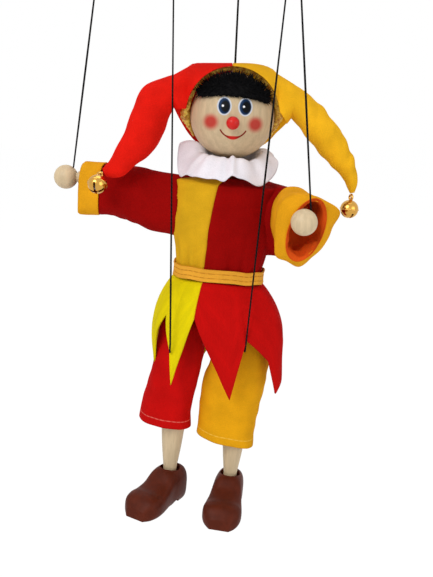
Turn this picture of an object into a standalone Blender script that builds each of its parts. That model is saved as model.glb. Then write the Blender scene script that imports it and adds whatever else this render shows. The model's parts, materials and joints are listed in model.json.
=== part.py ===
"""Jester string puppet: turned wooden figure in a cloth costume, hung on five strings from a wooden control.

Metres, +Z up. The figure faces -Y. Left and right are as seen from the front.
The origin is the middle of the control's top face, by which the puppet is held.
"""
import math

import bmesh
import bpy
from mathutils import Matrix, Vector

# Fits and stock sizes
CLEARANCE = 0.0003
CLOTH = 0.0008
WIRE_RADIUS = 0.0005
RING_RADIUS = 0.0020

# Pose of the photographed figure
HEAD_STRING_DROP = 0.0720
HEAD_SHIFT = -0.0030
HEAD_ROLL = math.radians(3)
TORSO_LEAN = math.radians(6)
SEAM_AZIMUTH = math.radians(-20)

# Head
HEAD_DIAMETER = 0.035
HEAD_BORE = 0.0018
NOSE_DIAMETER = 0.0053
NOSE_PEG_DIAMETER = 0.0016
NOSE_PEG_LENGTH = 0.0040
NOSE_HEIGHT = -0.0018
NOSE_STANDOFF = 0.0004
HAIR_THICKNESS = 0.0020
HAIR_HALF_WIDTH = 0.0148
HAIR_LOWER_EDGE = 0.0085
HAIR_SIDE_DROP = 0.0014
HAIR_TUFT_LENGTH = 0.0007
HAIR_TUFTS = 9

# Hat
HAT_TOP = 0.0214
HAT_WALL = 0.0030
FACE_OPENING_WIDTH = HEAD_DIAMETER + 0.0036
FACE_OPENING_HEIGHT = HEAD_DIAMETER + 0.0050
FACE_OPENING_DEPTH = -0.0026
FACE_SLOPE = 0.78
FACE_SLOPE_START = 0.0032
FACE_SLOPE_WIDTH = FACE_OPENING_WIDTH + 0.0098
NECK_OPENING_RADIUS = 0.0115
NECK_OPENING_TOP = -0.0120
HOOD_RISE = 0.0010
HOOD_SHOULDER_RISE = {-1: 0.0099, 1: 0.0072}
HOOD_SETBACK = 0.0008
TRIM_WIDTH = 0.0011
TRIM_LENGTH = 0.0036
TRIM_SWEEP = math.radians(236)
BELL_DIAMETER = 0.0078
BELL_WALL = 0.0005
BELL_SLOT = 0.0009
BELL_LOOP_RADIUS = 0.0011
HEAD_LOOP_RADIUS = 0.0012
PELLET_DIAMETER = 0.0026

# Torso, jacket, belt and collar
BLOCK_WIDTH = 0.0260
BLOCK_DEPTH = 0.0150
BLOCK_TOP = -0.0045
HIP_DROP = 0.0550
HIP_SPREAD = 0.0140
HIP_TONGUE_WIDTH = 0.0150
HIP_TONGUE_DEPTH = 0.0110
HIP_PIN_DIAMETER = 0.0024
PIN_HEAD_THICKNESS = 0.0010
SHOULDER_SPREAD = 0.0235
SHOULDER_DROP = 0.0072
SHOULDER_BEND = 0.0060
EYE_DEPTH = 0.0090
JACKET_TOP = -0.0030
JACKET_BOTTOM = -0.0430
JACKET_WIDTH = 0.0440
JACKET_DEPTH = 0.0250
WAIST_WIDTH = 0.0372
WAIST_DEPTH = 0.0236
COLLAR_HOLE_RADIUS = 0.0072
ARMHOLE_HEIGHT = 0.0260
ARMHOLE_WIDTH = 0.0160
BELT_HEIGHT = 0.0052
BELT_OVERLAP = 0.0018
COLLAR_RADIUS = 0.0205
COLLAR_DEPTH_SHARE = 0.86
COLLAR_NECK_OVERLAP = 0.0002
COLLAR_NECK_RISE = 0.0060
COLLAR_GATHER = 0.30
COLLAR_ARCH = 0.0012
COLLAR_FRONT_FALL = 0.0060
COLLAR_SIDE_RISE = 0.0030
COLLAR_BACK_FALL = 0.0030
COLLAR_FOLDS = 9
COLLAR_FOLD_HEIGHT = 0.0022
COLLAR_FOLD_REACH = 0.0012
COLLAR_THICKNESS = 0.0008

# Skirt
SKIRT_WIDTH = 0.0574
SKIRT_DEPTH = 0.0420
SKIRT_FLARE_END = -0.0720
SKIRT_SWAY = 0.0016
SKIRT_RIGHT_FULLNESS = 0.0026
SKIRT_FOLD = 0.0010
SKIRT_NOTCH = -0.0610
SKIRT_POINT_LENGTH = 0.0340

# Arms
ARM_LENGTH = 0.0455
ARM_ROD_DIAMETER = 0.0060
ARM_EYE_SHANK = 0.0065
HAND_DIAMETER = 0.0102
HAND_TENON_DIAMETER = 0.0040
HAND_TENON_LENGTH = 0.0040
CUFF_START = 0.0298
CUFF_END = 0.0391
SLEEVE_TOP = 0.0050
SLEEVE_DROP_AT_SHOULDER = 0.0235
SLEEVE_DROP_AT_CUFF = 0.0170
SLEEVE_DEPTH = 0.0180
SLEEVE_SAG = 0.0010
SLEEVE_PULL = 0.42
SLEEVE_SEAT_REACH = (0.0080, 0.0)
SLEEVE_SEAT_SHARE = 0.30
SLEEVE_ROOT = (Vector((-0.0225, 0.0, 0.0)), Vector((0.0222, -0.0042, 0.0)))
SLEEVE_ROOT_TURN = (math.radians(180), math.radians(-41))
CUFF_FLARE = {-1: 0.0003, 1: 0.0030}
CUFF_DROOP = {-1: (0.0, 0.0), 1: (0.0018, -0.0018)}
CUFF_RIM_DEPTH = 0.0130
LEFT_ARM_DIRECTION = Vector((-0.998, 0.066, 0.031))
RIGHT_ARM_DIRECTION = Vector((0.110, -0.985, -0.130))
HAND_STRING_DIRECTION = (Vector((-0.60, 0, 0.80)), Vector((-0.10, 0.45, 0.87)))
HAND_STRING_DEPTH = 0.0018

# Legs
THIGH_LENGTH = 0.0380
THIGH_DIAMETER = 0.0112
KNEE_TONGUE = 0.0040
KNEE_PIN_DIAMETER = 0.0016
KNEE_SHOULDER = 0.0090
SHIN_LENGTH = 0.0430
SHIN_DIAMETER = 0.0108
ANKLE_DIAMETER = 0.0062
ANKLE_PEG_DIAMETER = 0.0030
ANKLE_PEG_LENGTH = 0.0060
SHIN_STRAIGHT = 0.0210
SHIN_WAIST = 0.0100
LEG_SLANT = (math.radians(4.9), math.radians(5.2))
TROUSER_TOP = -0.0068
TROUSER_LENGTH = (0.0595, 0.0650)
TROUSER_HEM_TILT = (0.0012, 0.0022)
TROUSER_DEPTH = 0.0200
TROUSER_GATHER = 0.14
TROUSER_FOLD = 0.0006
SHOE_LENGTH = 0.0340
SHOE_WIDTH = 0.0166
SHOE_HEEL = 0.0088
SHOE_HEIGHT = 0.0182
SHOE_YAW = (math.radians(-32), math.radians(-9))
SHOE_RECESS = 0.0050
SHOE_RECESS_PLAY = 0.0014
SOLE_FLAT = 0.0012
HEEL_ARCH_RADIUS = 0.0032
HEEL_ARCH_PLACE = -0.0012

# Control and strings
CONTROL_YAW = math.radians(-11.5)
MAIN_BAR_LENGTH = 0.1000
MAIN_BAR_WIDTH = 0.0100
MAIN_BAR_THICKNESS = 0.0080
MAIN_BAR_REACH = 0.0580
CROSS_BAR_WIDTH = 0.0080
CROSS_BAR_THICKNESS = 0.0050
LEG_BAR_POSITION = 0.0200
LEG_BAR_LENGTH = 0.0560
LEG_HOLE_SPREAD = LEG_BAR_LENGTH / 2 - 0.0055
HAND_BAR_POSITION = 0.0460
HAND_BAR_LENGTH = 0.0980
HAND_HOLE_OUTER = HAND_BAR_LENGTH / 2 - 0.0053
HAND_HOLE_INNER = HAND_HOLE_OUTER - 0.0149
CONTROL_PIN_DIAMETER = 0.0030
STRING_DIAMETER = 0.0006
HEAD_STRING_DIAMETER = 0.0008
STRING_HOLE_DIAMETER = 0.0016
KNOT_DIAMETER = 0.0020
KNOT_HOLE_DIAMETER = 0.0036
KNOT_HOLE_HEIGHT = -0.0040
CONTROL_PIN_DEPTH = 0.0050
KNEE_STRING_HEIGHT = (0.0220, 0.0185)
KNEE_STRING_START = (-0.0022, 0.0)
KNEE_STRING_FRONT = (-0.0066, 0.0)
KNEE_STRING_REACH = 0.0200
KNEE_STRING_RISE = 0.0040

SEGMENTS = 14


def clear_scene():
    for thing in list(bpy.data.objects):
        bpy.data.objects.remove(thing, do_unlink=True)


def material(name, colour, roughness, metallic=0.0):
    """A plain finish, shared by the pieces that have it."""
    found = bpy.data.materials.get(name)
    if found:
        return found
    made = bpy.data.materials.new(name)
    made.use_nodes = True
    shader = made.node_tree.nodes["Principled BSDF"]
    shader.inputs["Base Color"].default_value = (*colour, 1.0)
    shader.inputs["Roughness"].default_value = roughness
    shader.inputs["Metallic"].default_value = metallic
    made.diffuse_color = (*colour, 1.0)
    return made


def wood():
    return material("wood", (0.56, 0.40, 0.22), 0.55)


def red_cloth():
    return material("red_cloth", (0.55, 0.01, 0.01), 0.85)


def yellow_cloth():
    return material("yellow_cloth", (0.80, 0.40, 0.02), 0.85)


def lemon_cloth():
    return material("lemon_cloth", (0.78, 0.60, 0.0), 0.85)


def white_cloth():
    return material("white_cloth", (0.85, 0.84, 0.86), 0.7)


def gold():
    return material("gold", (0.80, 0.55, 0.15), 0.25, 1.0)


def steel():
    return material("steel", (0.55, 0.55, 0.55), 0.3, 1.0)


def black_thread():
    return material("black_thread", (0.02, 0.02, 0.02), 0.8)


def add_frame(name, location, rotation, parent=None):
    """An empty that carries the pieces of one body."""
    frame = bpy.data.objects.new(name, None)
    bpy.context.collection.objects.link(frame)
    frame.parent = parent
    frame.matrix_basis = Matrix.Translation(location) @ rotation.to_4x4()
    return frame


def add_mesh(name, bm, finish, parent, smooth_angle=40):
    """Turn a built shape into a named object with its faces pointing out."""
    bmesh.ops.recalc_face_normals(bm, faces=bm.faces)
    mesh = bpy.data.meshes.new(name)
    bm.to_mesh(mesh)
    bm.free()
    mesh.materials.append(finish)
    mesh.shade_smooth()
    mesh.set_sharp_from_angle(angle=math.radians(smooth_angle))
    made = bpy.data.objects.new(name, mesh)
    bpy.context.collection.objects.link(made)
    made.parent = parent
    return made


def solid_of_rings(bm, rings):
    """A loft through rings of equal count, closed by a face at each end."""
    loops = [[bm.verts.new(point) for point in ring] for ring in rings]
    count = len(loops[0])
    for low, high in zip(loops, loops[1:]):
        for j in range(count):
            k = (j + 1) % count
            bm.faces.new((low[j], low[k], high[k], high[j]))
    bm.faces.new(loops[0])
    bm.faces.new(loops[-1])


def shell_of_surface(bm, point, rows, columns, wrap):
    """A cloth wall. point(u, v, side) gives its outer face at side 0 and its inner face at side 1."""
    last = columns if wrap else columns + 1
    faces = []
    for side in (0, 1):
        faces.append([[bm.verts.new(point(j / columns, i / rows, side)) for j in range(last)]
                      for i in range(rows + 1)])
    for grid in faces:
        for i in range(rows):
            for j in range(columns):
                k = (j + 1) % last
                bm.faces.new((grid[i][j], grid[i][k], grid[i + 1][k], grid[i + 1][j]))
    outer, inner = faces
    for i in (0, rows):
        for j in range(columns):
            k = (j + 1) % last
            bm.faces.new((outer[i][j], outer[i][k], inner[i][k], inner[i][j]))
    if not wrap:
        for j in (0, columns):
            for i in range(rows):
                bm.faces.new((outer[i][j], outer[i + 1][j], inner[i + 1][j], inner[i][j]))


def turn(bm, profile, segments=SEGMENTS, matrix=None):
    """A turned shape about Z. A profile of (radius, height) ends on the axis or closes on itself."""
    on_axis = 1e-7
    rings = []
    for radius, height in profile:
        if radius < on_axis:
            rings.append([bm.verts.new((0, 0, height))])
            continue
        angles = [2 * math.pi * j / segments for j in range(segments)]
        rings.append([bm.verts.new((radius * math.cos(a), radius * math.sin(a), height)) for a in angles])
    closed = profile[0][0] > on_axis
    pairs = list(zip(rings, rings[1:]))
    if closed:
        pairs.append((rings[-1], rings[0]))
    made = []
    for low, high in pairs:
        for j in range(segments):
            k = (j + 1) % segments
            corners = [low[j % len(low)], low[k % len(low)], high[k % len(high)], high[j % len(high)]]
            corners = list(dict.fromkeys(corners))
            made.append(bm.faces.new(corners))
    if matrix:
        bmesh.ops.transform(bm, matrix=matrix, verts=list({v for face in made for v in face.verts}))


def arc_profile(radius, centre, start, end, steps):
    """Points of (radius, height) on an arc. Angles are counted from the equator."""
    angles = [start + (end - start) * i / steps for i in range(steps + 1)]
    return [(max(radius * math.cos(a), 0.0), centre + radius * math.sin(a)) for a in angles]


def add_turned(name, profile, finish, parent, segments=SEGMENTS, matrix=None):
    bm = bmesh.new()
    turn(bm, profile, segments, matrix)
    return add_mesh(name, bm, finish, parent)


def add_tube(name, points, radius, finish, parent=None, swell=None, resolution=2):
    """A round wire, thread or cord along points. swell widens it at each point, as a knot does."""
    curve = bpy.data.curves.new(name, "CURVE")
    curve.dimensions = "3D"
    curve.bevel_depth = radius
    curve.bevel_resolution = resolution
    curve.use_fill_caps = True
    line = curve.splines.new("POLY")
    line.points.add(len(points) - 1)
    for i, (place, point) in enumerate(zip(points, line.points)):
        point.co = (*place, 1.0)
        point.radius = swell[i] if swell else 1.0
    curve.materials.append(finish)
    made = bpy.data.objects.new(name, curve)
    bpy.context.collection.objects.link(made)
    made.parent = parent
    return made


def cutter(name, bm, parent):
    """A shape that is only used to cut others."""
    made = add_mesh(name, bm, steel(), parent)
    made.hide_render = True
    made.display_type = "WIRE"
    return made


def cut(target, tool, operation="DIFFERENCE"):
    modifier = target.modifiers.new(tool.name, "BOOLEAN")
    modifier.operation = operation
    modifier.object = tool
    modifier.solver = "EXACT"


def box(bm, low, high):
    """A box between two corners."""
    size = Vector(high) - Vector(low)
    middle = (Vector(high) + Vector(low)) / 2
    matrix = Matrix.Translation(middle) @ Matrix.Diagonal((*size, 1.0))
    bmesh.ops.create_cube(bm, size=1.0, matrix=matrix)


def rod(bm, radius, start, end, segments=12):
    """A plain round bar between two points."""
    start, end = Vector(start), Vector(end)
    axis = end - start
    matrix = Matrix.Translation(start) @ axis.to_track_quat("Z", "Y").to_matrix().to_4x4()
    turn(bm, [(0, 0), (radius, 0), (radius, axis.length), (0, axis.length)], segments, matrix)


def eye_route(shank, ring_radius=RING_RADIUS, steps=10):
    """Route of a bent wire eye: a shank along +Z up to the origin, then a ring above it in the XZ plane."""
    sweep = math.radians(318)
    route = [Vector((0, 0, -shank)), Vector((0, 0, -shank / 2)), Vector((0, 0, 0))]
    for i in range(1, steps + 1):
        a = -math.pi / 2 + sweep * i / steps
        route.append(Vector((ring_radius * math.cos(a), 0, ring_radius * (1 + math.sin(a)))))
    return route


def rounded(angle, power=2.5):
    """A point on a unit superellipse, between an ellipse and a rectangle."""
    c, s = math.cos(angle), math.sin(angle)
    return math.copysign(abs(c) ** (2 / power), c), math.copysign(abs(s) ** (2 / power), s)


def blend(a, b, t):
    return a + (b - a) * t


def ease(t):
    t = min(max(t, 0.0), 1.0)
    return t * t * (3 - 2 * t)


def ball_profile(radius, bore, steps=10):
    """A turned ball with a hole through it along its axis."""
    half = math.acos(bore / radius)
    outside = arc_profile(radius, 0.0, -half, half, steps)
    height = radius * math.sin(half)
    return outside + [(bore, height / 2), (bore, -height / 2)]


def build_head(frame):
    """Ball head that swivels on a wire, with its bead nose and plush fringe."""
    radius = HEAD_DIAMETER / 2
    ball = add_turned("head_ball", ball_profile(radius, HEAD_BORE / 2), wood(), frame, 26)
    nose_axis = Matrix.Rotation(math.radians(90) - NOSE_HEIGHT / radius, 4, "X")
    socket = bmesh.new()
    socket_floor = radius - NOSE_PEG_LENGTH - CLEARANCE
    rod(socket, NOSE_PEG_DIAMETER / 2 + CLEARANCE, (0, 0, socket_floor), (0, 0, 2 * radius))
    bmesh.ops.transform(socket, matrix=nose_axis, verts=socket.verts)
    cut(ball, cutter("cut_nose_socket", socket, frame))
    build_nose(frame, radius, nose_axis)
    build_hair(frame, radius + CLEARANCE)

    drop = neck_drop()
    bottom = [Matrix.Rotation(math.pi, 4, "X") @ p for p in eye_route(0.0)]
    bottom = [p + Vector((0, 0, 2 * RING_RADIUS - drop)) for p in reversed(bottom[2:])]
    top_start = Vector((0, 0, radius + CLEARANCE + WIRE_RADIUS))
    top = [p + top_start for p in eye_route(0.0, HEAD_LOOP_RADIUS)[2:]]
    add_tube("head_wire", bottom + top, WIRE_RADIUS, steel(), frame)


def neck_drop():
    """Distance from the head's centre down to the wire that the torso hangs on."""
    return HEAD_DIAMETER / 2 + CLEARANCE + WIRE_RADIUS + 2 * RING_RADIUS


def build_nose(frame, head_radius, axis):
    """A round bead with a glued peg."""
    radius = NOSE_DIAMETER / 2
    sunk = radius * 0.35
    peg = NOSE_PEG_DIAMETER / 2
    centre = head_radius + CLEARANCE + radius - sunk + NOSE_STANDOFF
    profile = [(0, head_radius - NOSE_PEG_LENGTH), (peg, head_radius - NOSE_PEG_LENGTH)]
    profile.append((peg, centre - radius + sunk))
    profile += arc_profile(radius, centre, -math.asin(1 - sunk / radius), math.pi / 2, 6)
    profile[-1] = (0, profile[-1][1])
    add_turned("nose", profile, material("red_lacquer", (0.6, 0.01, 0.01), 0.2), frame, 16, axis)


def build_hair(frame, inner_radius):
    """Fringe that lies on the forehead, thick in the middle, with a ragged lower edge."""
    disc = HEAD_DIAMETER / 2 - CLEARANCE
    columns = HAIR_TUFTS * 2

    def point(u, v, side):
        x = blend(-HAIR_HALF_WIDTH, HAIR_HALF_WIDTH, u)
        tuft = HAIR_TUFT_LENGTH if round(u * columns) % 2 else -HAIR_TUFT_LENGTH
        lower = HAIR_LOWER_EDGE - HAIR_SIDE_DROP * (2 * u - 1) ** 2 + tuft
        upper = math.sqrt(disc ** 2 - x ** 2)
        z = blend(max(upper, lower + 2 * CLEARANCE), lower, v)
        bulge = HAIR_THICKNESS * (0.55 + 0.45 * math.sin(math.pi * min(max(v, 0.15), 0.85)))
        radius = inner_radius + (0.0 if side else bulge)
        return Vector((x, -math.sqrt(max(radius ** 2 - x ** 2 - z ** 2, 0.0)), z))

    bm = bmesh.new()
    shell_of_surface(bm, point, 4, columns, False)
    add_mesh("hair_fringe", bm, material("black_plush", (0.012, 0.012, 0.014), 0.95), frame)


# Horn stations from the head's centre: upper edge, lower edge, half depth and how far forward it hangs
LEFT_HORN = (
    ((-0.0240, 0.0168), (-0.0242, 0.0034), 0.0085, 0.0010),
    ((-0.0325, 0.0142), (-0.0265, -0.0015), 0.0080, 0.0030),
    ((-0.0385, 0.0095), (-0.0295, -0.0090), 0.0075, 0.0060),
    ((-0.0425, -0.0020), (-0.0345, -0.0150), 0.0062, 0.0090),
    ((-0.0462, -0.0110), (-0.0402, -0.0202), 0.0050, 0.0115),
    ((-0.0500, -0.0172), (-0.0458, -0.0242), 0.0036, 0.0130),
    ((-0.0530, -0.0205), (-0.0512, -0.0240), 0.0016, 0.0135),
)
RIGHT_HORN = (
    ((0.0250, 0.0132), (0.0245, -0.0010), 0.0085, 0.0000),
    ((0.0325, 0.0080), (0.0285, -0.0055), 0.0080, 0.0000),
    ((0.0400, 0.0006), (0.0345, -0.0130), 0.0072, 0.0000),
    ((0.0462, -0.0078), (0.0408, -0.0197), 0.0060, 0.0000),
    ((0.0510, -0.0175), (0.0458, -0.0253), 0.0046, 0.0000),
    ((0.0530, -0.0262), (0.0487, -0.0298), 0.0030, 0.0000),
    ((0.0520, -0.0318), (0.0500, -0.0322), 0.0014, 0.0000),
)
HOOD_STATIONS = (0.0, 0.0070, 0.0130, 0.0185)

# Bell loops from the head's centre, and the way each bell hangs
LEFT_BELL = Vector((-0.0540, -0.0137, -0.0230))
LEFT_BELL_AXIS = Vector((-0.15, -0.70, -0.70)).normalized()
RIGHT_BELL = Vector((0.0505, 0.0, -0.0340))
RIGHT_BELL_AXIS = Vector((-0.12, -0.05, -1.0)).normalized()


def hood_ring(x, side, count):
    """Cross section of the hood over the head, at a distance from its middle seam."""
    outside = HEAD_DIAMETER / 2 + HAT_WALL
    reach = math.sqrt(outside ** 2 - min(x, outside * 0.92) ** 2)
    lift = HOOD_RISE + HOOD_SHOULDER_RISE[side] * (x / HOOD_STATIONS[-1]) ** 2
    ring = []
    for j in range(count):
        a = 2 * math.pi * j / count
        up = math.sin(a)
        height = min(reach * up + (lift if up > 0 else 0.0), HAT_TOP)
        ring.append(Vector((side * (x + CLEARANCE / 2), HOOD_SETBACK + reach * math.cos(a), height)))
    return ring


def horn_ring(station, count):
    (top_x, top_z), (low_x, low_z), depth, forward = station
    middle = Vector(((top_x + low_x) / 2, -forward, (top_z + low_z) / 2))
    along = Vector(((top_x - low_x) / 2, 0, (top_z - low_z) / 2))
    ring = []
    for j in range(count):
        a = 2 * math.pi * j / count
        ring.append(middle + along * math.sin(a) + Vector((0, depth * math.cos(a), 0)))
    return ring


def face_edge(z):
    """Depth of the hat's front edge at a height. Below the temples it runs back behind the cheeks."""
    return FACE_OPENING_DEPTH + FACE_SLOPE * max(FACE_SLOPE_START - z, 0.0)


def build_hat(frame, head_frame):
    """Two sewn halves, each a hood side with a horn, cut to sit on the head with the face open."""
    count = 16
    radius = HEAD_DIAMETER / 2 + CLEARANCE
    head_room = bmesh.new()
    bmesh.ops.create_uvsphere(head_room, u_segments=24, v_segments=16, radius=radius)
    face = bmesh.new()
    oval = Matrix.Diagonal((FACE_OPENING_WIDTH / 2, 1.0, FACE_OPENING_HEIGHT / 2, 1.0))
    rod(face, 1.0, (0, -0.05, 0), (0, FACE_OPENING_DEPTH, 0), 32)
    bmesh.ops.transform(face, matrix=oval, verts=face.verts)
    slope = bmesh.new()
    half = FACE_SLOPE_WIDTH / 2
    front, low = -2 * HEAD_DIAMETER, FACE_SLOPE_START - HEAD_DIAMETER
    outline = ((front, FACE_SLOPE_START), (face_edge(FACE_SLOPE_START), FACE_SLOPE_START),
               (face_edge(low), low), (front, low))
    solid_of_rings(slope, [[Vector((x, y, z)) for y, z in outline] for x in (-half, half)])
    neck = bmesh.new()
    rod(neck, NECK_OPENING_RADIUS, (0, 0, -HEAD_DIAMETER), (0, 0, NECK_OPENING_TOP), 20)
    crown = bmesh.new()
    rod(crown, HEAD_LOOP_RADIUS + WIRE_RADIUS + CLEARANCE, (0, 0, 0.010), (0, 0, 0.030), 16)
    tools = [cutter("cut_head_room", head_room, frame), cutter("cut_face_opening", face, frame),
             cutter("cut_face_slope", slope, frame), cutter("cut_neck_opening", neck, frame),
             cutter("cut_crown_hole", crown, head_frame)]
    halves = (("hat_red", -1, LEFT_HORN, red_cloth()), ("hat_yellow", 1, RIGHT_HORN, yellow_cloth()))
    for name, side, horn, finish in halves:
        rings = [hood_ring(x, side, count) for x in HOOD_STATIONS]
        rings += [horn_ring(station, count) for station in horn]
        bm = bmesh.new()
        solid_of_rings(bm, rings)
        half = add_mesh(name, bm, finish, frame, 60)
        for tool in tools:
            cut(half, tool)
    build_trim(frame)


def build_trim(frame):
    """Gold ribbon round the face opening, between the head and the hat."""
    inner = HEAD_DIAMETER / 2 + CLEARANCE
    half_wide = FACE_OPENING_WIDTH / 2 - CLEARANCE
    half_high = FACE_OPENING_HEIGHT / 2 - CLEARANCE

    def point(u, v, side):
        a = math.pi / 2 + TRIM_SWEEP * (u - 0.5)
        wide = half_wide - (TRIM_WIDTH if side else 0.0)
        high = half_high - (TRIM_WIDTH if side else 0.0)
        x, z = wide * math.cos(a), high * math.sin(a)
        grow = max(inner / math.hypot(x, z), 1.0)
        back = face_edge(z * grow) - 2.5 * CLEARANCE
        return Vector((x * grow, back - TRIM_LENGTH * v, z * grow))

    bm = bmesh.new()
    shell_of_surface(bm, point, 1, 36, False)
    add_mesh("hat_trim", bm, gold(), frame)


def build_bell(name, frame):
    """Jingle bell that hangs by its loop, with crossed slots below and a loose pellet inside."""
    radius = BELL_DIAMETER / 2
    inside = radius - BELL_WALL
    centre = -radius - BELL_LOOP_RADIUS
    mouth = 0.0005
    ridge = 0.00025
    lowest = -math.acos(mouth / radius)
    outer = arc_profile(radius, centre, lowest, -0.06, 5)
    outer += [(radius + ridge, centre - 0.0001), (radius + ridge, centre + 0.0001)]
    outer += arc_profile(radius, centre, 0.06, math.pi / 2, 5)
    outer[-1] = (0, outer[-1][1])
    inner = arc_profile(inside, centre, math.pi / 2, -math.acos(mouth / inside), 8)
    inner[0] = (0, inner[0][1])
    bm = bmesh.new()
    turn_open_shell(bm, outer, inner)
    bell = add_mesh(name, bm, gold(), frame)
    slots = bmesh.new()
    floor = centre - 2 * radius
    box(slots, (-radius, -BELL_SLOT / 2, floor), (radius, BELL_SLOT / 2, centre - radius * 0.35))
    across = bmesh.new()
    box(across, (-BELL_SLOT / 2, -radius, floor), (BELL_SLOT / 2, radius, centre - radius * 0.35))
    cut(bell, cutter("cut_slot_" + name, slots, frame))
    cut(bell, cutter("cut_cross_slot_" + name, across, frame))
    loop = bmesh.new()
    steps = 8
    angles = [2 * math.pi * i / steps for i in range(steps)]
    ring = [(BELL_LOOP_RADIUS + WIRE_RADIUS * math.cos(a), WIRE_RADIUS * math.sin(a)) for a in angles]
    turn(loop, ring, 14, Matrix.Rotation(math.pi / 2, 4, "X"))
    cut(bell, cutter("join_loop_" + name, loop, frame), "UNION")
    rest = centre - inside + PELLET_DIAMETER / 2 + 2 * CLEARANCE
    pellet = arc_profile(PELLET_DIAMETER / 2, rest, -math.pi / 2, math.pi / 2, 6)
    pellet[0] = (0, pellet[0][1])
    pellet[-1] = (0, pellet[-1][1])
    add_turned(name + "_pellet", pellet, steel(), frame, 10)


def turn_open_shell(bm, outer, inner, segments=SEGMENTS):
    """A hollow turned shell with a small mouth: both profiles run to the axis at the top."""
    top_out, top_in = outer[-1], inner[0]
    rows = []
    for profile in (outer[:-1], inner[1:]):
        for radius, height in profile:
            angles = [2 * math.pi * j / segments for j in range(segments)]
            rows.append([bm.verts.new((radius * math.cos(a), radius * math.sin(a), height)) for a in angles])
    split = len(outer) - 1
    joints = [(i, i + 1) for i in range(len(rows) - 1) if i != split - 1] + [(len(rows) - 1, 0)]
    for i, k in joints:
        for j in range(segments):
            n = (j + 1) % segments
            bm.faces.new((rows[i][j], rows[i][n], rows[k][n], rows[k][j]))
    for (radius, height), row in ((top_out, rows[split - 1]), (top_in, rows[split])):
        pole = bm.verts.new((0, 0, height))
        for j in range(segments):
            bm.faces.new((row[j], row[(j + 1) % segments], pole))


def build_torso(frame):
    """Inner wooden block with the wire eyes of the neck and shoulders and the pin of the hips."""
    count = 20
    block_bottom = -HIP_DROP + THIGH_DIAMETER / 2 + 2 * CLEARANCE
    levels = ((0.0, 0.62, 0.75), (0.08, 0.92, 0.95), (0.25, 1.0, 1.0), (0.65, 0.9, 1.0), (1.0, 0.82, 0.95))
    rings = []
    for share, wide, deep in levels:
        z = blend(BLOCK_TOP, block_bottom, share)
        shape = [rounded(2 * math.pi * j / count, 3.0) for j in range(count)]
        rings.append([Vector((c * wide * BLOCK_WIDTH / 2, s * deep * BLOCK_DEPTH / 2, z)) for c, s in shape])
    bm = bmesh.new()
    solid_of_rings(bm, rings)
    block = add_mesh("torso_block", bm, wood(), frame)
    tongue = bmesh.new()
    half_wide, half_deep = HIP_TONGUE_WIDTH / 2, HIP_TONGUE_DEPTH / 2
    tongue_top = (BLOCK_TOP + block_bottom) / 2
    box(tongue, (-half_wide, -half_deep, -HIP_DROP - half_deep), (half_wide, half_deep, tongue_top))
    cut(block, cutter("join_hip_tongue", tongue, frame), "UNION")

    drills = []
    hole = WIRE_RADIUS + CLEARANCE
    neck_shank = neck_eye_base() - BLOCK_TOP + EYE_DEPTH
    drills.append(((0, 0, BLOCK_TOP - EYE_DEPTH - CLEARANCE), (0, 0, 0), hole))
    neck = [p + Vector((0, 0, neck_eye_base())) for p in eye_route(neck_shank)]
    quarter = Matrix.Rotation(math.pi / 2, 4, "Z")
    add_tube("neck_eye", [quarter @ p for p in neck], WIRE_RADIUS, steel(), frame)

    for side, name in ((-1, "left"), (1, "right")):
        arm = arm_frame_matrix(side)
        start = arm @ Vector((-2 * RING_RADIUS, 0, 0))
        bend = Vector((side * (SHOULDER_SPREAD - SHOULDER_BEND), 0, -SHOULDER_DROP))
        inside = Vector((side * (BLOCK_WIDTH / 2 - EYE_DEPTH), 0, -SHOULDER_DROP))
        ring = [arm @ Vector((p.z - 2 * RING_RADIUS, p.x, 0)) for p in eye_route(0.0)[2:]]
        route = [inside, bend, blend(bend, start, 0.6)] + ring
        add_tube(f"shoulder_eye_{name}", route, WIRE_RADIUS, steel(), frame)
        drills.append((inside - Vector((side * CLEARANCE, 0, 0)), bend + Vector((side * 0.01, 0, 0)), hole))
    pin = HIP_PIN_DIAMETER / 2
    drills.append(((-0.02, 0, -HIP_DROP), (0.02, 0, -HIP_DROP), pin + CLEARANCE))
    for i, (start, end, radius) in enumerate(drills):
        drill = bmesh.new()
        rod(drill, radius, start, end)
        cut(block, cutter(f"cut_block_hole_{i}", drill, frame))

    half = HIP_SPREAD + THIGH_DIAMETER / 2 + 2 * CLEARANCE
    head = half + PIN_HEAD_THICKNESS
    outline = [(0, -head), (pin * 1.8, -head), (pin * 1.8, -half), (pin, -half)]
    outline += [(r, -z) for r, z in reversed(outline)]
    across = Matrix.Translation((0, 0, -HIP_DROP)) @ Matrix.Rotation(math.pi / 2, 4, "Y")
    add_turned("hip_pin", outline, steel(), frame, 14, across)


def neck_eye_base():
    """Height of the neck eye's lowest wire, which hooks over the head wire's loop."""
    return 2 * WIRE_RADIUS + CLEARANCE - 2 * RING_RADIUS


def jacket_half_size(z):
    """Half width and half depth of the jacket at a height."""
    t = (z - JACKET_TOP) / (JACKET_BOTTOM - JACKET_TOP)
    shoulder = ease(t / 0.13)
    waist = ease((t - 0.45) / 0.55)
    wide = blend(blend(COLLAR_HOLE_RADIUS + CLOTH, JACKET_WIDTH / 2, shoulder), WAIST_WIDTH / 2, waist)
    deep = blend(blend(COLLAR_HOLE_RADIUS + CLOTH, JACKET_DEPTH / 2, shoulder), WAIST_DEPTH / 2, waist)
    return wide, deep


JACKET_ROUNDNESS = 2.2


def around(azimuth, wide, deep, z, power=JACKET_ROUNDNESS):
    """A point round the torso. Azimuth 0 is the front and grows to the right."""
    c, s = rounded(azimuth - math.pi / 2, power)
    return Vector((c * wide, s * deep, z))


def half_span(side, u, radius):
    """Azimuth from the front seam to the back seam on one side, short of the seam by half a clearance."""
    edge = CLEARANCE / 2 / radius
    return SEAM_AZIMUTH + side * blend(edge, math.pi - edge, u)


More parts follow.
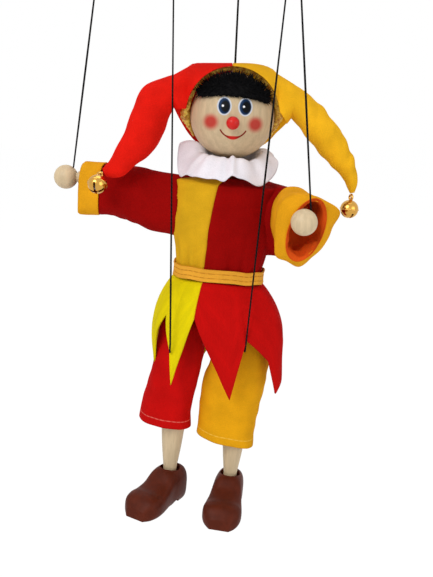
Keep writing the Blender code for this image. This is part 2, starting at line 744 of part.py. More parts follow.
def build_jacket(frame):
    """Two sewn halves with armholes, split at the front and back seams."""
    for name, side, finish in (("jacket_yellow", -1, yellow_cloth()), ("jacket_red", 1, red_cloth())):
        def point(u, v, inner):
            z = blend(JACKET_TOP, JACKET_BOTTOM, v ** 1.3)
            wide, deep = jacket_half_size(z)
            inset = CLOTH if inner else 0.0
            azimuth = half_span(side, u, deep)
            return around(azimuth, wide - inset, deep - inset, z - (inset if v == 0 else 0.0))

        bm = bmesh.new()
        shell_of_surface(bm, point, 7, 12, False)
        half = add_mesh(name, bm, finish, frame, 60)
        hole = bmesh.new()
        oval = Matrix.Translation((0, 0, -SHOULDER_DROP - ARMHOLE_HEIGHT * 0.32))
        oval = oval @ Matrix.Diagonal((1.0, ARMHOLE_WIDTH / 2, ARMHOLE_HEIGHT / 2, 1.0))
        rod(hole, 1.0, (side * 0.010, 0, 0), (side * 0.040, 0, 0), 20)
        bmesh.ops.transform(hole, matrix=oval, verts=hole.verts)
        cut(half, cutter("cut_armhole_" + name, hole, frame))


def belt_levels():
    top = JACKET_BOTTOM + BELT_OVERLAP
    return top, top - BELT_HEIGHT


def build_belt(frame):
    """Ribbon round the waist, over the jacket's lower edge."""
    top, bottom = belt_levels()

    def point(u, v, inner):
        z = blend(top, bottom, v)
        wide, deep = jacket_half_size(max(z, JACKET_BOTTOM))
        grow = CLEARANCE + (0.0 if inner else CLOTH)
        return around(2 * math.pi * u, wide + grow, deep + grow, z)

    bm = bmesh.new()
    shell_of_surface(bm, point, 1, 26, True)
    add_mesh("belt", bm, yellow_cloth(), frame)


# Cut edge of each skirt half, front seam to back seam: azimuth in degrees, share of a point's length
SKIRT_EDGE = {
    -1: ((-20, 0.0), (-39.5, 0.91), (-39, 0.47), (-50, 0.03), (-76, 0.74), (-98, 0.06), (-120, 0.85),
         (-142, 0.06), (-168, 0.85), (-200, 0.0)),
    1: ((-20, 0.0), (14, 1.0), (20, 0.56), (25, 0.21), (48, 0.50), (58, 0.94), (75, 0.68), (95, 0.09),
        (118, 0.85), (140, 0.09), (160, 0.0)),
}


def skirt_edge(side, u):
    """Azimuth and share of a point's length of the cut edge, at a share of one half's width."""
    stations = SKIRT_EDGE[side]
    place = u * (len(stations) - 1)
    i = min(int(place), len(stations) - 2)
    return (blend(a, b, place - i) for a, b in zip(stations[i], stations[i + 1]))


def skirt_point(side, u, v, inner):
    """A point of the flared skirt, with a soft fold down each of its points."""
    top = belt_levels()[1] - CLEARANCE
    degrees, share = skirt_edge(side, u)
    z = blend(top, SKIRT_NOTCH - share * SKIRT_POINT_LENGTH, v)
    fall = (top - z) / (top - SKIRT_FLARE_END)
    flare = math.sin(min(fall, 1.0) * math.pi / 2) ** 0.8
    inset = CLOTH if inner else 0.0
    deep = blend(WAIST_DEPTH / 2, SKIRT_DEPTH / 2, flare)
    seam_edge = CLEARANCE / 2 / deep
    azimuth = math.radians(degrees) + side * blend(seam_edge, -seam_edge, u)
    fold = SKIRT_FOLD * flare * math.cos(4 * azimuth)
    full = SKIRT_WIDTH / 2 + SKIRT_RIGHT_FULLNESS * max(math.sin(azimuth), 0.0)
    wide = blend(WAIST_WIDTH / 2, full, flare) - fold - inset
    return around(azimuth, wide, deep - fold - inset, z, 2.0) + Vector((SKIRT_SWAY * fall, 0, 0))


def build_skirt(frame):
    """Two halves of the pointed skirt that hangs from the belt."""
    for name, side, finish in (("skirt_yellow", -1, lemon_cloth()), ("skirt_red", 1, red_cloth())):
        bm = bmesh.new()
        columns = 2 * (len(SKIRT_EDGE[side]) - 1)
        shell_of_surface(bm, lambda u, v, inner: skirt_point(side, u, v, inner), 4, columns, False)
        add_mesh(name, bm, finish, frame, 60)


def build_collar(frame):
    """Ruff of gathered cloth round the neck."""
    inner_radius = COLLAR_HOLE_RADIUS - COLLAR_NECK_OVERLAP
    seam_height = JACKET_TOP + CLEARANCE + COLLAR_THICKNESS

    def point(u, v, under):
        a = 2 * math.pi * u
        wave = math.sin(COLLAR_FOLDS * a + 0.6) + 0.35 * math.sin((COLLAR_FOLDS - 4) * a)
        swing = COLLAR_FOLD_HEIGHT * wave * v ** 1.2
        radius = blend(inner_radius, COLLAR_RADIUS + COLLAR_FOLD_REACH * math.cos(COLLAR_FOLDS * a), v)
        ends_fall = COLLAR_FRONT_FALL if math.cos(a) > 0 else COLLAR_BACK_FALL
        fall = blend(ends_fall, -COLLAR_SIDE_RISE, math.sin(a) ** 2)
        rise = COLLAR_NECK_RISE * ease(v / COLLAR_GATHER) + COLLAR_ARCH * math.sin(math.pi * v)
        z = seam_height + rise - fall * v ** 1.5 + swing
        if under:
            z -= COLLAR_THICKNESS
        return Vector((radius * math.sin(a), -radius * math.cos(a) * COLLAR_DEPTH_SHARE, z))

    bm = bmesh.new()
    shell_of_surface(bm, point, 4, COLLAR_FOLDS * 6, True)
    add_mesh("collar", bm, white_cloth(), frame, 80)


def arm_frame_matrix(side):
    """Frame of an arm in the torso's frame: origin on the shoulder link, +X along the arm, +Z up."""
    lean = Matrix.Rotation(TORSO_LEAN, 3, "Y").inverted()
    world = LEFT_ARM_DIRECTION if side < 0 else RIGHT_ARM_DIRECTION
    along = (lean @ world).normalized()
    up_world = lean @ Vector((0, 0, 1))
    across = up_world.cross(along).normalized()
    up = along.cross(across)
    turn_to = Matrix((along, across, up)).transposed().to_4x4()
    return Matrix.Translation((side * SHOULDER_SPREAD, 0, -SHOULDER_DROP)) @ turn_to


def build_arm(index, name, frame):
    """Turned arm with a ball hand, hooked to the shoulder eye by a wire eye."""
    along = Matrix.Rotation(math.pi / 2, 4, "Y")
    hook = 2 * WIRE_RADIUS + CLEARANCE
    eye_end = 2 * RING_RADIUS - hook
    ring = [Vector((eye_end - p.z, 0, p.x)) for p in eye_route(ARM_EYE_SHANK)]
    add_tube(f"arm_eye_{name}", ring, WIRE_RADIUS, steel(), frame)

    radius = ARM_ROD_DIAMETER / 2
    start = eye_end + WIRE_RADIUS + CLEARANCE
    bore = WIRE_RADIUS + CLEARANCE
    depth = eye_end + ARM_EYE_SHANK + CLEARANCE
    tenon = HAND_TENON_DIAMETER / 2
    ball = HAND_DIAMETER / 2
    shoulder = ARM_LENGTH - ball - CLEARANCE
    tip = shoulder + HAND_TENON_LENGTH
    profile = [(0, depth), (bore, depth), (bore, start), (radius * 0.7, start), (radius, start + 0.0012)]
    profile += [(radius, shoulder - 0.003), (radius * 0.85, shoulder)]
    profile += [(tenon, shoulder), (tenon, tip), (0, tip)]
    add_turned(f"arm_{name}", profile, wood(), frame, 14, along)

    socket = tenon + CLEARANCE
    floor = tip + CLEARANCE
    mouth = -math.acos(socket / ball)
    profile = [(0, floor), (socket, floor)]
    profile += arc_profile(ball, ARM_LENGTH, mouth, math.pi / 2, 7)
    profile[-1] = (0, profile[-1][1])
    hand = add_turned(f"hand_{name}", profile, wood(), frame, 14, along)
    outside, inside = hand_string_hole(index)
    inward = (inside - outside).normalized()
    hole = bmesh.new()
    rod(hole, STRING_DIAMETER / 2 + CLEARANCE, outside - inward * 0.001, inside + inward * CLEARANCE, 8)
    cut(hand, cutter(f"cut_hand_string_{name}", hole, frame))


def sleeve_ring(t):
    """Upper edge, drop and half depth of the sleeve at a share of its length."""
    drop = blend(SLEEVE_DROP_AT_SHOULDER, SLEEVE_DROP_AT_CUFF, ease(t))
    sag = SLEEVE_SAG * math.sin(2 * math.pi * t)
    return SLEEVE_TOP, drop + sag, SLEEVE_DEPTH / 2


def reach_to_jacket(spot, inward, most):
    """How far a point beside the torso goes inward before it is a clearance off the jacket."""
    step = CLEARANCE / 2
    reach = 0.0
    while reach < most:
        x, y, z = spot + inward * (reach + step)
        wide, deep = jacket_half_size(z)
        share_x, share_y = abs(x) / (wide + 2 * CLEARANCE), abs(y) / (deep + 2 * CLEARANCE)
        if z < JACKET_TOP + CLEARANCE and share_x ** JACKET_ROUNDNESS + share_y ** JACKET_ROUNDNESS < 1:
            break
        reach += step
    return reach


def build_sleeve(side, name, frame):
    """Wide sleeve that hangs from the arm, from the jacket's armhole to the cuff."""
    arm = arm_frame_matrix(side)
    to_arm = arm.inverted()
    index = 0 if side < 0 else 1
    middle = -SHOULDER_DROP + (SLEEVE_TOP - SLEEVE_DROP_AT_SHOULDER) / 2
    root = to_arm @ (SLEEVE_ROOT[index] + Vector((0, 0, middle)))
    root_turn = SLEEVE_ROOT_TURN[index]
    root_out = to_arm.to_3x3() @ Vector((math.cos(root_turn), math.sin(root_turn), 0))
    end_middle = (SLEEVE_TOP - SLEEVE_DROP_AT_CUFF) / 2
    end = Vector((CUFF_START - CLEARANCE, 0, end_middle))
    reach = (end - root).length
    pull = reach * SLEEVE_PULL

    def spine(t):
        a, b = root, root + root_out * pull
        c, d = end - Vector((pull, 0, 0)), end
        s = 1 - t
        place = a * s ** 3 + b * 3 * s * s * t + c * 3 * s * t * t + d * t ** 3
        ahead = (b - a) * s * s + (c - b) * 2 * s * t + (d - c) * t * t
        return place, ahead.normalized()

    def point(u, v, inner):
        place, ahead = spine(v)
        across = Vector((0, 0, 1)).cross(ahead).normalized()
        top, drop, deep = sleeve_ring(v)
        inset = CLOTH if inner else 0.0
        c, s = rounded(2 * math.pi * u, 2.3)
        spot = place + across * c * (deep - inset) + Vector((0, 0, s * ((top + drop) / 2 - inset)))
        seated = 1 - ease(v / SLEEVE_SEAT_SHARE)
        if seated:
            inward = arm.to_3x3() @ -root_out
            spot -= root_out * reach_to_jacket(arm @ spot, inward, SLEEVE_SEAT_REACH[index]) * seated
        return spot

    bm = bmesh.new()
    shell_of_surface(bm, point, 6, 16, True)
    add_mesh(f"sleeve_{name}", bm, red_cloth(), frame, 60)


def build_cuff(side, name, frame):
    """Turned-back cuff, widest at its free edge and drawn in at the hand."""
    _, drop, deep = sleeve_ring(1.0)
    half_high = (SLEEVE_TOP + drop) / 2
    middle = (SLEEVE_TOP - drop) / 2

    def point(u, v, inner):
        wide = blend(deep, CUFF_RIM_DEPTH / 2, ease(v))
        loose = 1 - v
        grow = -CLOTH if inner else CUFF_FLARE[side] * loose
        aside, droop = (0.0, 0.0) if inner else CUFF_DROOP[side]
        c, s = rounded(2 * math.pi * u, 2.3)
        x = blend(CUFF_START, CUFF_END, v)
        return Vector((x, c * (wide + grow) + aside * loose, middle + s * (half_high + grow) + droop * loose))

    bm = bmesh.new()
    shell_of_surface(bm, point, 3, 16, True)
    add_mesh(f"cuff_{name}", bm, yellow_cloth(), frame, 60)


def build_leg(index, name, frame, shoe_frame):
    """Pinned thigh and shin, trouser leg and shoe."""
    radius = THIGH_DIAMETER / 2
    knee = -THIGH_LENGTH
    thigh_profile = arc_profile(radius, 0.0, math.pi / 2, 0.0, 5)
    thigh_profile += arc_profile(radius, knee, 0.0, -math.pi / 2, 5)
    thigh_profile[0] = (0, thigh_profile[0][1])
    thigh_profile[-1] = (0, thigh_profile[-1][1])
    thigh = add_turned(f"thigh_{name}", thigh_profile, wood(), frame, 14)
    string_tool, slit_tool = knee_string_cutter(index, name, frame)
    cut(thigh, string_tool)
    fork = bmesh.new()
    slot = KNEE_TONGUE / 2 + CLEARANCE
    box(fork, (-slot, -0.02, knee - 0.02), (slot, 0.02, knee + SHIN_DIAMETER / 2 + 2 * CLEARANCE))
    cut(thigh, cutter(f"cut_fork_{name}", fork, frame))
    hip_play = THIGH_DIAMETER / 2 * math.sin(TORSO_LEAN - LEG_SLANT[index]) + CLEARANCE
    holes = bmesh.new()
    rod(holes, HIP_PIN_DIAMETER / 2 + hip_play, (-0.02, 0, 0), (0.02, 0, 0))
    cut(thigh, cutter(f"cut_hip_hole_{name}", holes, frame))
    pin_hole = bmesh.new()
    rod(pin_hole, KNEE_PIN_DIAMETER / 2 + CLEARANCE, (-0.02, 0, knee), (0.02, 0, knee))
    pin_tool = cutter(f"cut_knee_hole_{name}", pin_hole, frame)
    cut(thigh, pin_tool)
    half = radius - 0.0006
    pin = [(0, -half), (KNEE_PIN_DIAMETER / 2, -half), (KNEE_PIN_DIAMETER / 2, half), (0, half)]
    across = Matrix.Translation((0, 0, knee)) @ Matrix.Rotation(math.pi / 2, 4, "Y")
    add_turned(f"knee_pin_{name}", pin, steel(), frame, 12, across)

    shin_radius = SHIN_DIAMETER / 2
    ankle_radius = ANKLE_DIAMETER / 2
    peg = ANKLE_PEG_DIAMETER / 2
    ankle = knee - SHIN_LENGTH
    end = ankle - SHOE_RECESS + CLEARANCE
    profile = arc_profile(shin_radius, knee, math.pi / 2, 0.0, 5)
    profile[0] = (0, profile[0][1])
    waist_radius = blend(shin_radius, ankle_radius, 0.45)
    profile += [(shin_radius, knee - SHIN_STRAIGHT), (waist_radius, ankle + SHIN_WAIST)]
    profile += [(ankle_radius, ankle), (ankle_radius * 0.95, end + 0.0015), (ankle_radius * 0.7, end)]
    profile += [(peg, end), (peg, end - ANKLE_PEG_LENGTH), (0, end - ANKLE_PEG_LENGTH)]
    shin = add_turned(f"shin_{name}", profile, wood(), frame, 14)
    for cheek in (-1, 1):
        waste = bmesh.new()
        near, far = sorted((cheek * KNEE_TONGUE / 2, cheek * 0.02))
        box(waste, (near, -0.02, knee - KNEE_SHOULDER), (far, 0.02, knee + 0.02))
        cut(shin, cutter(f"cut_tongue_{name}_{'near' if cheek < 0 else 'far'}", waste, frame))
    cut(shin, pin_tool)
    build_trousers(index, name, frame, slit_tool)
    build_shoe(name, shoe_frame)


# Trouser edges to the left and right of the leg's axis, at the seat and at the hem
TROUSER_SEAT = ((-0.0096, 0.0120), (-0.0120, 0.0130))
TROUSER_HEM = ((-0.0152, 0.0078), (-0.0168, 0.0094))

# Share of the fall at which each edge reaches the width of the hem
TROUSER_FULL_AT = ((1.0, 1.0), (0.55, 1.0))


def build_trousers(index, name, frame, string_slit):
    """Wide trouser leg, gathered on the thigh under the skirt and open at the hem."""
    finish = yellow_cloth() if index else red_cloth()
    waist = THIGH_DIAMETER / 2 + CLEARANCE + CLOTH

    def point(u, v, inner):
        full = ease(v / TROUSER_GATHER)
        fall = max(v - TROUSER_GATHER, 0.0) / (1 - TROUSER_GATHER)
        low, high = (blend(seat, hem, ease(fall / full_at)) for seat, hem, full_at
                     in zip(TROUSER_SEAT[index], TROUSER_HEM[index], TROUSER_FULL_AT[index]))
        left, right = blend(-waist, low, full), blend(waist, high, full)
        deep = blend(waist, TROUSER_DEPTH / 2, full)
        inset = CLOTH if inner else 0.0
        c, s = rounded(2 * math.pi * u, blend(2.0, 2.3, full))
        fold = TROUSER_FOLD * full * math.cos(3 * 2 * math.pi * u + index)
        x = (left + right) / 2 + c * ((right - left) / 2 - inset - abs(fold))
        tilt = -TROUSER_HEM_TILT[index] * c * fall
        z = blend(TROUSER_TOP, -TROUSER_LENGTH[index], v) + tilt
        return Vector((x, s * (deep - inset + fold), z))

    bm = bmesh.new()
    shell_of_surface(bm, point, 7, 16, True)
    leg = add_mesh(f"trousers_{name}", bm, finish, frame, 60)
    cut(leg, string_slit)


def shoe_section(t):
    """Half width and height of the shoe at a share of its length, heel to toe."""
    knots = ((0.0, 0.42, 0.62), (0.08, 0.66, 0.95), (0.25, 0.76, 1.0), (0.42, 0.74, 0.97), (0.55, 0.84, 0.72),
             (0.68, 0.97, 0.60), (0.80, 1.0, 0.58), (0.91, 0.84, 0.50), (1.0, 0.42, 0.26))
    for (t0, w0, h0), (t1, w1, h1) in zip(knots, knots[1:]):
        if t <= t1:
            share = (t - t0) / (t1 - t0)
            return blend(w0, w1, share) * SHOE_WIDTH / 2, blend(h0, h1, share) * SHOE_HEIGHT
    return knots[-1][1] * SHOE_WIDTH / 2, knots[-1][2] * SHOE_HEIGHT


def build_shoe(name, frame):
    """Carved clog with a heel, hollowed at the top where the shin's round end sits."""
    count = 14
    stations = (0.0, 0.03, 0.08, 0.25, 0.42, 0.48, 0.55, 0.68, 0.80, 0.91, 0.97, 1.0)
    sole = -SHOE_HEIGHT
    rings = []
    for t in stations:
        half_wide, height = shoe_section(t)
        y = blend(SHOE_HEEL, SHOE_HEEL - SHOE_LENGTH, t)
        ring = []
        for j in range(count):
            c, s = rounded(2 * math.pi * j / count, 2.6)
            ring.append(Vector((c * half_wide, y, sole + height * (0.5 + 0.5 * s))))
        rings.append(ring)
    bm = bmesh.new()
    solid_of_rings(bm, rings)
    shoe = add_mesh(f"shoe_{name}", bm, material("brown_paint", (0.09, 0.018, 0.008), 0.4), frame, 50)
    level = bmesh.new()
    box(level, (-0.03, -0.05, sole - 0.01), (0.03, 0.03, sole + SOLE_FLAT))
    cut(shoe, cutter(f"cut_sole_{name}", level, frame))
    arch = bmesh.new()
    height = sole + SOLE_FLAT / 3
    rod(arch, HEEL_ARCH_RADIUS, (-0.03, HEEL_ARCH_PLACE, height), (0.03, HEEL_ARCH_PLACE, height), 14)
    cut(shoe, cutter(f"cut_arch_{name}", arch, frame))
    recess = bmesh.new()
    wide = ANKLE_DIAMETER / 2 + SHOE_RECESS_PLAY
    floor = -SHOE_RECESS
    bore = ANKLE_PEG_DIAMETER / 2 + CLEARANCE
    deep = floor - ANKLE_PEG_LENGTH
    turn(recess, [(0, 0.02), (wide, 0.02), (wide, floor + 0.002), (wide - 0.0012, floor), (bore, floor),
                  (bore, deep), (0, deep)], 18)
    cut(shoe, cutter(f"cut_recess_{name}", recess, frame))


def build_control(frame):
    """Wooden control: a main bar with two cross bars pinned below it, drilled for the strings."""
    half = MAIN_BAR_WIDTH / 2
    bar = bmesh.new()
    box(bar, (-half, -MAIN_BAR_REACH, -MAIN_BAR_THICKNESS), (half, MAIN_BAR_LENGTH - MAIN_BAR_REACH, 0))
    main = add_mesh("control_main_bar", bar, wood(), frame)
    across = bmesh.new()
    rod(across, KNOT_HOLE_DIAMETER / 2, (-2 * half, 0, KNOT_HOLE_HEIGHT), (2 * half, 0, KNOT_HOLE_HEIGHT), 16)
    cut(main, cutter("cut_knot_hole", across, frame))
    down = bmesh.new()
    rod(down, STRING_HOLE_DIAMETER / 2, (0, 0, KNOT_HOLE_HEIGHT), (0, 0, -2 * MAIN_BAR_THICKNESS), 10)
    cut(main, cutter("cut_head_string_hole", down, frame))

    pin = CONTROL_PIN_DIAMETER / 2
    low, high = cross_bar_levels()
    bars = (("control_leg_bar", LEG_BAR_POSITION, LEG_BAR_LENGTH, (LEG_HOLE_SPREAD,)),
            ("control_hand_bar", HAND_BAR_POSITION, HAND_BAR_LENGTH, (HAND_HOLE_OUTER, HAND_HOLE_INNER)))
    for name, forward, length, holes in bars:
        bm = bmesh.new()
        wide = CROSS_BAR_WIDTH / 2
        box(bm, (-length / 2, -forward - wide, low), (length / 2, -forward + wide, high))
        cross = add_mesh(name, bm, wood(), frame)
        for hole in holes:
            for side in (-1, 1):
                drill = bmesh.new()
                x = side * hole
                rod(drill, STRING_HOLE_DIAMETER / 2, (x, -forward, 2 * low), (x, -forward, 0), 10)
                cut(cross, cutter(f"cut_{name}_{x:+.4f}", drill, frame))
        top = -MAIN_BAR_THICKNESS + CONTROL_PIN_DEPTH
        socket = bmesh.new()
        rod(socket, pin + CLEARANCE, (0, -forward, 2 * low), (0, -forward, top + CLEARANCE), 14)
        tool = cutter(f"cut_{name}_pin", socket, frame)
        cut(cross, tool)
        cut(main, tool)
        outline = [(0, low), (pin, low), (pin, top), (0, top)]
        add_turned(name + "_pin", outline, wood(), frame, 14, Matrix.Translation((0, -forward, 0)))


def cross_bar_levels():
    """Lower and upper face of the cross bars."""
    high = -MAIN_BAR_THICKNESS - CLEARANCE
    return high - CROSS_BAR_THICKNESS, high


def knotted_top(hole):
    """Points and swell of a string's knot on a cross bar and its way down through the hole."""
    low, high = cross_bar_levels()
    knot = KNOT_DIAMETER
    swell = KNOT_DIAMETER / STRING_DIAMETER
    seat = high + CLEARANCE
    heights = (seat + knot * 1.3, seat + knot, seat + knot * 0.6, seat + knot * 0.25, seat, low - CLEARANCE)
    widths = (0.6, 0.7 * swell, swell, 0.8 * swell, 1.0, 1.0)
    return [Vector((*hole, z)) for z in heights], list(widths)


def string_route(top, way):
    """A string from its knot to its lower end, with a few points along the straight run."""
    run = [blend(top[-1], way[0], t) for t in (0.25, 0.5, 0.75)]
    return top + run + way


def build_strings(control, hands, legs, head):
    """Five strings, each from its knot in the control to the hole or loop that it is tied in."""
    to_world = control.matrix_world
    thread = black_thread()
    radius = STRING_DIAMETER / 2
    places = (("hand_left", (-HAND_HOLE_OUTER, -HAND_BAR_POSITION)),
              ("hand_right", (HAND_HOLE_INNER, -HAND_BAR_POSITION)))
    for i, (name, hole) in enumerate(places):
        points, swell = knotted_top(hole)
        points = [to_world @ p for p in points]
        outside, inside = hand_string_hole(i)
        way = [hands[i].matrix_world @ outside, hands[i].matrix_world @ inside]
        route = string_route(points, way)
        add_tube("string_" + name, route, radius, thread, None, swell + [1.0] * (len(route) - len(swell)))
    for i, (name, side) in enumerate((("leg_left", -1), ("leg_right", 1))):
        points, swell = knotted_top((side * LEG_HOLE_SPREAD, -LEG_BAR_POSITION))
        points = [to_world @ p for p in points]
        route = string_route(points, [legs[i].matrix_world @ p for p in knee_string_way(i)])
        add_tube("string_" + name, route, radius, thread, None, swell + [1.0] * (len(route) - len(swell)))

    radius = HEAD_STRING_DIAMETER / 2
    knot = KNOT_DIAMETER / HEAD_STRING_DIAMETER
    floor = KNOT_HOLE_HEIGHT - KNOT_HOLE_DIAMETER / 2 + CLEARANCE
    heights = (1.25, 1.0, 0.65, 0.35)
    points = [to_world @ Vector((0, 0, floor + KNOT_DIAMETER * t)) for t in heights]
    points.append(to_world @ Vector((0, 0, -MAIN_BAR_THICKNESS - CLEARANCE)))
    loop = HEAD_DIAMETER / 2 + CLEARANCE + WIRE_RADIUS + HEAD_LOOP_RADIUS
    behind = HEAD_LOOP_RADIUS + CLEARANCE / 2
    through = loop + CLEARANCE / 3
    way = [Vector((0, behind, loop + 2 * HEAD_LOOP_RADIUS)), Vector((0, behind, loop + radius * 2)),
           Vector((0, behind * 0.7, through + CLEARANCE))]
    way += [Vector((0, -behind * share, through)) for share in (0.0, 0.6, 0.9, 1.2)]
    route = string_route(points, [head.matrix_world @ p for p in way])
    swell = [0.6, 0.7 * knot, 0.8 * knot, 0.7 * knot] + [1.0] * (len(route) - 6) + [1.7, 0.9]
    add_tube("string_head", route, radius, thread, None, swell)


def hand_string_hole(index):
    """Mouth and floor of the string hole in a hand, in the arm's frame."""
    direction = HAND_STRING_DIRECTION[index].normalized()
    centre = Vector((ARM_LENGTH, 0, 0))
    radius = HAND_DIAMETER / 2
    return centre + direction * (radius + CLEARANCE), centre + direction * (radius - HAND_STRING_DEPTH)


def knee_string_way(index):
    """The string's way from in front of the skirt to its hole in the thigh, in the leg's frame."""
    drop = -KNEE_STRING_HEIGHT[index]
    start, front = KNEE_STRING_START[index], KNEE_STRING_FRONT[index]
    skin = -THIGH_DIAMETER / 2
    return [Vector((front, -KNEE_STRING_REACH, drop + KNEE_STRING_RISE)),
            Vector((front, -KNEE_STRING_REACH + KNEE_STRING_RISE / 2, drop)),
            Vector((start, skin, drop)), Vector((start, skin + HAND_STRING_DEPTH, drop))]


def knee_string_cutter(index, name, frame):
    """Room for the knee string through the trouser leg and into the thigh."""
    way = knee_string_way(index)
    bm = bmesh.new()
    inward = (way[3] - way[2]).normalized()
    rod(bm, STRING_DIAMETER / 2 + CLEARANCE, way[2] - inward * 0.002, way[3] + inward * CLEARANCE, 8)
    tool = cutter("cut_string_" + name, bm, frame)
    slit = bmesh.new()
    rod(slit, STRING_DIAMETER + CLEARANCE, way[1], way[2], 10)
    return tool, cutter("cut_trouser_slit_" + name, slit, frame)


def main():
    clear_scene()
    level = Matrix.Identity(3)
    control = add_frame("control_frame", (0, 0, 0), Matrix.Rotation(CONTROL_YAW, 3, "Z"))
    head_place = Vector((HEAD_SHIFT, 0, -HEAD_STRING_DROP))
    head = add_frame("head_frame", head_place, Matrix.Rotation(HEAD_ROLL, 3, "Y"))
    hat = add_frame("hat_frame", head_place, level)
    bpy.context.view_layer.update()
    neck = head.matrix_world @ Vector((0, 0, -neck_drop()))
    torso = add_frame("torso_frame", neck, Matrix.Rotation(TORSO_LEAN, 3, "Y"))
    bpy.context.view_layer.update()

    build_control(control)
    build_head(head)
    build_hat(hat, head)
    bells = (("bell_left", LEFT_BELL, LEFT_BELL_AXIS), ("bell_right", RIGHT_BELL, RIGHT_BELL_AXIS))
    for name, spot, axis in bells:
        hang = (-axis).to_track_quat("Z", "Y").to_matrix()
        build_bell(name, add_frame(name + "_frame", head_place + spot, hang))
    build_torso(torso)
    build_jacket(torso)
    build_belt(torso)
    build_collar(torso)
    build_skirt(torso)

    hands = []
    for i, (side, name) in enumerate(((-1, "left"), (1, "right"))):
        arm = arm_frame_matrix(side)
        frame = add_frame(f"arm_{name}_frame", torso.matrix_world @ arm.translation,
                          (torso.matrix_world @ arm).to_3x3())
        build_arm(i, name, frame)
        build_sleeve(side, name, frame)
        build_cuff(side, name, frame)
        hands.append(frame)

    legs = []
    for i, (side, name) in enumerate(((-1, "left"), (1, "right"))):
        hip = torso.matrix_world @ Vector((side * HIP_SPREAD, 0, -HIP_DROP))
        frame = add_frame(f"leg_{name}_frame", hip, Matrix.Rotation(LEG_SLANT[i], 3, "Y"))
        ankle = (0, 0, -THIGH_LENGTH - SHIN_LENGTH)
        shoe = add_frame(f"shoe_{name}_frame", ankle, Matrix.Rotation(SHOE_YAW[i], 3, "Z"), frame)
        build_leg(i, name, frame, shoe)
        legs.append(frame)
    bpy.context.view_layer.update()
    build_strings(control, hands, legs, head)


main()
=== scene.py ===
"""Looks of the jester string puppet: cloth, painted wood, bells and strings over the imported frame."""
import json
import math

